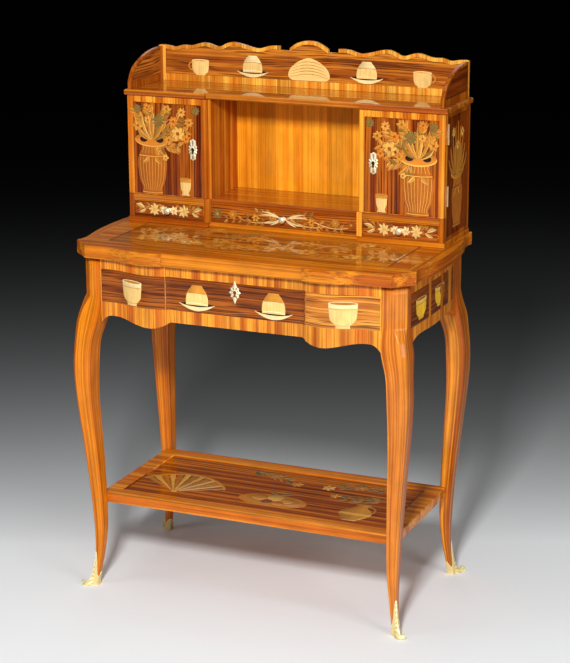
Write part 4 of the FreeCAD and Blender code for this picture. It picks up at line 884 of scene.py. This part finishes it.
# ---------------------------------------------------------------- gallery
# A low gallery of three boards sawn to a waved crest, edged in light upright tulipwood and
# panelled in kingwood, with mugs, cups on saucers and a melon-ribbed cover inlaid in the back.
gallery_edging = wood("tulipwood_gallery", "z", (0.96, 0.48, 0.065), (0.70, 0.22, 0.015),
                      (0.26, 0.05, 0.005), leaf=0.030)
dress(gallery_edging, "gallery_back", ease=0.0007)
# The gallery ends take the darker tulipwood: painted shade.
dress(painted_shade_tulipwood, "gallery_side", ease=0.0007)
_, GALLERY_FACE, board_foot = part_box("gallery_back")[0]
BAND = board_foot + 0.0155
# Half the length of the back's panel, the light edging of back and ends, and the border and
# the least height of an end's panel.
GALLERY_HALF, EDGING, END_EDGING, END_BORDER, THINNEST = 0.3300, 0.0080, 0.0058, 0.0060, 0.0005


def crest_of(node, axis):
    """Upper edge of a gallery board as a line: the highest point at each place along it."""
    board = np.array([v.co for v in NODES[node].data.vertices])
    board = board[board[:, 2] > BAND - 0.003]
    return skyline(board[:, axis], board[:, 2], 4)


def under(crest, place, drop):
    """A crest line carried down by the width of its light edging."""
    around = np.linspace(-drop, drop, 9)[:, None]
    fall = np.sqrt(np.maximum(drop ** 2 - around ** 2, 0))
    return (np.interp(place + around, *crest) - fall).min(0)


on_gallery = facing_front(GALLERY_FACE)
gallery_wood = wood("kingwood_gallery", "map", (0.62, 0.20, 0.020), (0.34, 0.080, 0.009),
                    (0.08, 0.014, 0.004), stripe=0.010, vein=0.0027, swirl=0.026, veins=0.85)
ground = Picture(90)
crest = crest_of("gallery_back", 0)
field(ground, (-GALLERY_HALF, GALLERY_HALF), BAND, lambda x, out: under(crest, x, EDGING - out),
      FINE_LINE, 200)
ground.lay("gallery_panel", on_gallery, gallery_wood, "desk")
for side, hand in HANDS:
    low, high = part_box("gallery_side_" + hand)
    near, far = sorted((abs(low.x), abs(high.x)))
    crest = crest_of("gallery_side_" + hand, 1)
    # Both faces of an end are kingwood grounds; the outer faces take the darker kingwood of the
    # case sides, painted shade on faces turned from the light.
    for face, turn, place in (("inner", -1, near), ("outer", 1, far)):
        panel = Picture(92 + side * turn)
        rear_border = 2 * END_BORDER if turn < 0 else END_BORDER
        field(panel, (side * turn * (low.y + END_BORDER), side * turn * (high.y - rear_border)),
              BAND, lambda a, out: np.maximum(under(crest, side * turn * a, END_EDGING - out),
                                              BAND - out + THINNEST), FINE_LINE)
        panel.lay(f"gallery_side_panel_{hand}_{face}", facing_aside(side, place, turn),
                  gallery_wood if turn < 0 else side_wood, "desk")
service = Picture(91)
MUG = ((0, 0.27), (0.07, 0.27), (0.14, 0.35), (0.30, 0.45), (0.6, 0.49), (1, 0.5))
for side in (-1, 1):
    x = side * 0.2490
    turned(service, (x, BAND - 0.001), 0.0310, 0.0395, MUG, CREAM, sand=0.35)
    disc(service, (x, BAND + 0.030), 0.0198, 0.0026, PALE, 3, sand=0.2)
    disc(service, (x, BAND + 0.030), 0.0178, 0.0015, HONEY, 4)
    ring = np.linspace(-0.60 * math.pi, 0.60 * math.pi, 17)
    handle = np.column_stack([x + side * (0.0195 + 0.0075 * np.cos(ring)),
                              BAND + 0.018 + 0.0080 * np.sin(ring)])
    service.strip(handle, 0.0011, GOLD, level=3, columns=1)
    cup_and_saucer(service, side * 0.1280, BAND + 0.0010, 0.072, 0.045, PALE)
DOME = ((0, 0.40), (0.08, 0.47), (0.2, 0.5), (0.4, 0.48), (0.6, 0.41), (0.8, 0.28),
        (0.93, 0.15), (1, 0.04))
turned(service, (0, BAND), 0.047, 0.093, DOME, CREAM, 2, 0.0, sand=0.3)
for rise in np.linspace(0.34, 0.88, 5):
    arc = np.linspace(-1, 1, 27)
    rib = np.column_stack([0.047 * arc * (1 - 0.42 * (rise - 0.34)),
                           BAND + 0.047 * (rise - 0.24 + 0.20 * np.cos(arc * math.pi / 2))])
    service.strip(rib, 0.0007 * np.cos(arc * 1.45), TAN, level=4, columns=1)
service.lay("gallery_service", on_gallery, inlay, "desk")

# ---------------------------------------------------------------- lower shelf
# The shelf is a kingwood board framed by a raised tulipwood moulding, inlaid with an open fan,
# a dish of fruit, a jug and flowering sprays.
kingwood_x = wood("kingwood_shelf", "x", (0.72, 0.19, 0.008), (0.34, 0.060, 0.003),
                  (0.07, 0.011, 0.0015), stripe=0.012, vein=0.0036, swirl=0.012, veins=0.8,
                  gloss=MIRROR)
shelf_edging = wood("tulipwood_shelf", "x", (0.90, 0.34, 0.030), (0.62, 0.145, 0.009),
                    (0.22, 0.032, 0.003), swirl=0.0015)
dress(kingwood_x, "lower_shelf")
dress(shelf_edging, "lower_shelf_moulding", ease=0.0015)
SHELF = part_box("lower_shelf")[1].z
still = Picture(95)
pivot = np.array([-0.195, -0.085])
for number, angle in enumerate(np.linspace(0.18 * math.pi, 0.80 * math.pi, 13)):
    way = np.array([math.cos(angle), math.sin(angle)])
    still.strip(np.linspace(pivot + 0.012 * way, pivot + 0.105 * way, 9),
                np.linspace(0.0012, 0.0062, 9), HONEY if number % 2 else TAN, level=2, sand=0.5,
                columns=2)
arc = np.linspace(0.15 * math.pi, 0.83 * math.pi, 25)
still.strip(pivot + 0.108 * np.column_stack([np.cos(arc), np.sin(arc)]), 0.0032, GOLD, level=3)
disc(still, pivot + np.array([0.0, 0.006]), 0.007, 0.007, HONEY, 4)
disc(still, (0.020, -0.055), 0.076, 0.034, ORANGE, 1)
disc(still, (0.020, -0.053), 0.066, 0.026, GOLD, 2)
disc(still, (0.020, -0.052), 0.060, 0.022, TAN, 3)
for x, y, size, tint in ((-0.012, -0.045, 0.017, GOLD), (0.022, -0.038, 0.019, HONEY),
                         (0.050, -0.048, 0.015, GOLD), (0.010, -0.064, 0.013, RUSSET),
                         (0.036, -0.066, 0.012, ORANGE)):
    disc(still, (x, y), size, size * 0.95, tint, 5, sand=1.0)
leaf(still, (0.02, -0.022), (0.052, -0.008), 0.010, 0.003, GREEN, 6)
leaf(still, (0.02, -0.022), (-0.010, -0.006), 0.010, -0.003, OLIVE, 6)
for root, tip, sag, leaves in (((-0.10, 0.095), (0.03, 0.055), 0.012, 6),
                               ((0.23, 0.09), (0.10, 0.06), -0.014, 6),
                               ((0.24, 0.035), (0.13, 0.02), 0.010, 5)):
    spray(still, root, tip, sag, leaves, 0.011)
for x, y, radius, petals, tint in ((0.03, 0.055, 0.015, 6, GOLD), (-0.03, 0.085, 0.017, 7, TAN),
                                   (0.10, 0.060, 0.016, 6, HONEY), (0.165, 0.085, 0.015, 7, TAN),
                                   (0.13, 0.020, 0.013, 5, GOLD)):
    flower(still, np.array([x, y]), radius, petals, tint, turn=x * 50)
JUG = ((0, 0.20), (0.06, 0.24), (0.25, 0.42), (0.45, 0.5), (0.65, 0.40), (0.8, 0.22),
       (0.92, 0.18), (1, 0.26))
jug = (0.205, -0.100)
turned(still, jug, 0.095, 0.068, JUG, GOLD, 3, sand=0.9)
turned(still, jug, 0.095, 0.069, JUG, HONEY, 4, 0.0, part=(0.34, 0.46))
ring = np.linspace(-0.5 * math.pi, 0.55 * math.pi, 17)
still.strip(np.column_stack([0.219 + 0.020 * np.cos(ring), -0.036 + 0.022 * np.sin(ring)]),
            0.0022, TAN, level=3, columns=1)
still.lay("shelf_still_life", facing_up(SHELF), flat_inlay, "desk")

# ---------------------------------------------------------------- mounts, locks and hinges
# Sabots and lock plates are cast brass, chased and then gilt, or silvered for the plates. A
# sabot is a leaf that climbs the outer corner of the leg from a scrolled toe, and it is pinned
# through the leaf. Lock cases and hinges are plain rolled brass, the bolts iron.
def metal(name, bright, dull, rough, metallic=0.72):
    """Worked metal: bright where it is rubbed, dull in the hollows of the chasing, with the
    fine unevenness of hand polishing."""
    finish = Finish(name, {"Metallic": metallic})
    place = finish.grained("x")
    hollow = finish.node("Attribute", {"attribute_name": "hollow"}, (), "Fac")
    mottle = finish.cloud(*(axis * 260.0 for axis in place), 3.0)
    grit = finish.cloud(*(axis * 1900.0 for axis in place), 1.0)
    colour = finish.mix((hollow + mottle * 0.4).rises(0.35, 1.25), bright, dull)
    return finish.made(finish.lit(colour, mottle * 0.35 + 0.82),
                       hollow * 0.22 + grit * 0.12 + rough, grit, 0.00005)


gilding = metal("gilt_brass", (1.0, 0.94, 0.56), (0.76, 0.56, 0.20), 0.34, 0.35)
silvering = metal("silvered_brass", (0.96, 0.85, 0.55), (0.18, 0.12, 0.06), 0.36)
brass = metal("rolled_brass", (0.62, 0.40, 0.20), (0.30, 0.18, 0.05), 0.32)
iron = metal("filed_iron", (0.46, 0.44, 0.41), (0.16, 0.12, 0.10), 0.38)
dress(silvering, "knob")
dress(brass, "hinge", "frieze_lock_case", "door_lock_case")
dress(iron, "frieze_lock_bolt", "door_lock_bolt")


def cast_piece(name, grid, hollow, material, body, slot, *replaced, tube=False):
    """A casting from its rings of points, with how hollow each point lies as an attribute."""
    rows, columns = grid.shape[:2]
    maps = np.zeros((rows + tube, columns + 1, 2))
    piece = shell(name, grid, maps, material, tube)
    piece.data.attributes.new("hollow", "FLOAT", "POINT").data.foreach_set(
        "value", np.broadcast_to(hollow, (rows, columns)).ravel())
    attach(piece, body)
    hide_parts(*replaced)


# Upper edge of a sabot: degrees from the outer corner, and height in mm.
LEAF_EDGE = ((0, 74.4), (12, 68), (26, 56), (44, 40), (66, 26), (95, 18), (125, 21), (152, 26),
             (180, 28))
WALL, TOE, TOE_FALL, PLINTH, PLINTH_FALL = np.array([1.7, 18.5, 10.0, 1.4, 3.5]) * MM


def sabot(node, side, front):
    """The leaf of a sabot. At height z and turn t from the leg's outer corner its radius is
    leg(z, t) + WALL + TOE cos(t)^5 exp(-z / TOE_FALL) + relief, and it ends at its edge."""
    part = np.linspace(-1, 1, 129)[:-1]
    turn = math.pi * (0.35 * part + 0.65 * part * np.abs(part))
    off = np.abs(turn)
    edge = profile(LEAF_EDGE, np.degrees(off)) * MM
    edge *= 1 + 0.05 * (np.abs(np.sin(7.5 * off)) - 0.6) * (off < 1.9)
    share = np.linspace(0, 1, 56)[:, None]
    outer = 0.3 * MM + share * (edge - 0.3 * MM)
    inner = 3 * MM + share[::-7] * (edge - 3.5 * MM)
    height = np.vstack([np.zeros((3, len(turn))), outer, inner])
    near_x, far_x, near_y, far_y, _ = leg_sections(front, np.maximum(height, FOOT).ravel()).T
    middle = [((near + far) / 2).reshape(height.shape)
              for near, far in ((near_x, far_x), (near_y, far_y))]
    half = ((far_x - near_x) / 2).reshape(height.shape)
    way = turn + math.pi / 4
    leg = half / (np.abs(np.cos(way)) ** 8 + np.abs(np.sin(way)) ** 8) ** 0.125
    rib = 0.9 * MM * np.exp(-(off / 0.10) ** 2)
    lobes = np.cos(2 * math.pi * (share * 7.0 - off * 1.6)) * np.exp(-(off / 0.85) ** 2)
    border = 0.7 * MM * np.exp(-((1 - share) / 0.05) ** 2)
    relief = rib + 0.42 * MM * lobes * (1 - 0.6 * np.exp(-(off / 0.12) ** 2)) + border
    toe = TOE * np.maximum(np.cos(turn), 0) ** 5 * np.exp(-outer / TOE_FALL)
    plinth = PLINTH * np.exp(-outer / PLINTH_FALL)
    wall = WALL * (1 - 0.55 * share ** 3)
    reach = leg[3:3 + len(outer)] + wall + relief * (1 - 0.5 * share) + toe + plinth
    reach = np.vstack([reach[:1] * np.array([[0.1], [0.5], [0.97]]), reach,
                       leg[3 + len(outer):] - 0.4 * MM])
    grid = np.dstack([side * (middle[0] + reach * np.cos(way)),
                      front * (middle[1] + reach * np.sin(way)), height])
    hollow = np.ones(height.shape)
    hollow[3:3 + len(outer)] = np.clip(0.75 - relief / (0.9 * MM), 0, 1)
    if side * front < 0:
        grid, hollow = grid[:, ::-1], hollow[:, ::-1]
    cast_piece(node + "_leaf", grid, hollow, gilding, "desk", "gilt", node)


def toe_scroll(node, side, front):
    """The scroll of a toe: a ribbed band, rolled up along a spiral of falling radius."""
    roll = np.linspace(0, 8.6, 72)
    radius = (5.3 - 0.50 * roll) * MM
    foot = np.array([337.0, 171.5]) * MM
    out = np.concatenate([np.linspace(13, 26.2, 12)[:-1] * MM, 26.6 * MM + radius * np.sin(roll)])
    up = np.concatenate([np.linspace(2.4, 1.0, 12)[:-1] * MM, 6.5 * MM - radius * np.cos(roll)])
    along = np.gradient(np.column_stack([out, up]), axis=0)
    along /= np.linalg.norm(along, axis=1)[:, None]
    share = np.linspace(0, 1, len(out))[:, None]
    turn = np.linspace(0, 2 * math.pi, 33)[None, :-1]
    wide = np.sign(np.sin(turn)) * np.abs(np.sin(turn)) ** 0.6
    thick = np.cos(turn) * (0.95 - 0.35 * share) * MM
    ribs = 1 + 0.30 * np.cos(4 * math.pi * wide)
    aside = wide * (6.6 - 1.6 * share + 0.9 * np.sin(math.pi * share)) * MM
    away = out[:, None] - along[:, 1:] * thick * ribs
    rise = up[:, None] + along[:, :1] * thick * ribs
    root = math.sqrt(0.5)
    grid = np.dstack([side * (foot[0] + root * (away - aside)),
                      front * (foot[1] + root * (away + aside)), np.maximum(rise, 0.1 * MM)])
    if side * front < 0:
        grid = grid[:, ::-1]
    cast_piece(node + "_scroll", grid, np.clip(1.05 - ribs, 0, 1) * 1.6, gilding, "desk", "gilt")


for front, row in ROWS:
    for side, hand in HANDS:
        sabot(f"sabot_{row}_{hand}", side, front)
        toe_scroll(f"sabot_{row}_{hand}", side, front)

# Keyhole: radius of its eye, half width of its slot, and how far down the slot reaches.
EYE, SLOT_HALF, SLOT_FOOT = 3.9 * MM, 2.2 * MM, 9.0 * MM


def lock_plate(node, body, square, lobes):
    """A pierced plate in low relief between its keyhole and a leafy outline,
    r = (|cos t / wide|^square + |sin t / high|^square)^(-1 / square), cut into lobes."""
    low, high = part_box(node)
    middle, half = (low + high) / 2, (high - low) / 2
    turn = np.linspace(2 * math.pi, 0, 161)[:-1]
    outline = ((np.abs(np.cos(turn)) / half.x) ** square
               + (np.abs(np.sin(turn)) / half.z) ** square) ** (-1 / square)
    outline *= 1 - 0.22 * np.abs(np.sin(turn * lobes / 2)) ** 0.8
    slot = np.minimum(SLOT_HALF / np.maximum(np.abs(np.cos(turn)), 1e-6),
                      SLOT_FOOT / np.maximum(-np.sin(turn), 1e-6))
    keyhole = np.where(np.sin(turn) < 0, np.maximum(EYE, slot), EYE)
    share = np.linspace(0, 1, 26)[:, None]
    reach = keyhole + (outline - keyhole) * share
    leaves = np.cos(turn * lobes) * np.sin(math.pi * share) ** 0.8
    rim = np.exp(-((share - 0.07) / 0.07) ** 2)
    relief = (0.55 + 0.35 * rim + 0.42 * (1 - share) + 0.20 * leaves) / 1.38
    relief = np.minimum(relief, 1.0) * (1 - 0.7 * share ** 6) * (high.y - low.y)
    reach = np.vstack([reach[:1], reach, reach[-1:]])
    up = np.vstack([np.zeros((1, len(turn))), relief, np.zeros((1, len(turn)))])
    grid = np.dstack([middle.x + reach * np.cos(turn), high.y - up,
                      middle.z + reach * np.sin(turn)])
    hollow = np.pad(np.clip(-1.1 * leaves, 0, 1), ((1, 1), (0, 0)), constant_values=1)
    cast_piece(node + "_chased", grid, hollow, silvering, body, "gilt", node, tube=True)


lock_plate("frieze_escutcheon", "frieze_drawer", 1.15, 8)
for hand in ("left", "right"):
    lock_plate("door_escutcheon_" + hand, "door_" + hand, 1.5, 10)

# ---------------------------------------------------------------- camera, light and floor
# A long lens a little above the desk, five soft boxes, and a pale floor whose colour falls
# into the dark some way behind the desk: a painted falloff of the light.
FOCAL, MIDDLE_ROW, LONG_SIDE, SENSOR = 1961.23, 329.07, 663, 36.0
camera = bpy.data.cameras.new("camera")
camera.sensor_width = SENSOR
camera.lens = SENSOR * FOCAL / LONG_SIDE
camera.shift_y = (MIDDLE_ROW - LONG_SIDE / 2) / LONG_SIDE
camera.clip_end = 60
AZIMUTH, ELEVATION, ROLL = (math.radians(angle) for angle in (23.31, 15.51, -0.25))
LOOKED_AT, DISTANCE = Vector((0.02794, -0.00407, 0.55356)), 4.01246
towards = Vector((math.sin(AZIMUTH) * math.cos(ELEVATION),
                  -math.cos(AZIMUTH) * math.cos(ELEVATION), math.sin(ELEVATION)))
eye = shown("camera", camera)
bpy.context.scene.camera = eye
eye.location = LOOKED_AT + towards * DISTANCE
eye.rotation_mode = "QUATERNION"
eye.rotation_quaternion = (-towards).to_track_quat("-Z", "Y") @ Quaternion((0, 0, 1), ROLL)


def soft_box(name, place, size, power):
    """A square soft box that faces the desk."""
    light = bpy.data.lights.new(name, "AREA")
    light.shape = "SQUARE"
    light.size = size
    light.energy = power
    held = shown(name, light)
    held.location = place
    held.rotation_mode = "QUATERNION"
    held.rotation_quaternion = (Vector((0, 0, 0.6)) - Vector(place)).to_track_quat("-Z", "Y")


soft_box("key", (0.94, -3.5, 2.65), 0.5, 160)
soft_box("left", (-2.6, -2.4, 1.7), 1.4, 14)
soft_box("right", (3.2, -1.5, 1.7), 1.4, 34)
soft_box("top", (-0.1, -0.4, 3.4), 1.8, 17)
soft_box("rear", (-1.3, 2.8, 2.6), 1.6, 9)

HALF, FALL_STARTS, FALL, PALEST, DARKEST = 14.0, 0.2, 1.3, 0.93, 0.004
floor_mesh = bpy.data.meshes.new("floor")
floor_mesh.from_pydata([(-HALF, -HALF, 0), (HALF, -HALF, 0), (HALF, HALF, 0), (-HALF, HALF, 0)],
                       [], [(0, 1, 2, 3)])
floor = shown("floor", floor_mesh)
pale = Finish("floor_with_painted_falloff", {"Roughness": 0.6, "Specular IOR Level": 0.0})
across, behind, _ = pale.grained("x")
# The floor's colour darkens with distance behind the desk: painted falloff of the light.
away = behind * math.cos(AZIMUTH) - across * math.sin(AZIMUTH) - FALL_STARTS
away = away.maths("MAXIMUM", away, 0.0)
shade = away.maths("POWER", math.e, away * -FALL) * PALEST + DARKEST
pale.paint("Base Color", pale.mix(shade, (0, 0, 0), (0.96, 0.985, 1.0)))
floor_mesh.materials.append(pale.material)

world = bpy.data.worlds.new("studio")
bpy.context.scene.world = world
world.use_nodes = True
ambient = world.node_tree.nodes["Background"]
ambient.inputs["Color"].default_value = (1, 1, 1, 1)
ambient.inputs["Strength"].default_value = 0.04
bpy.context.scene.view_settings.view_transform = "Standard"
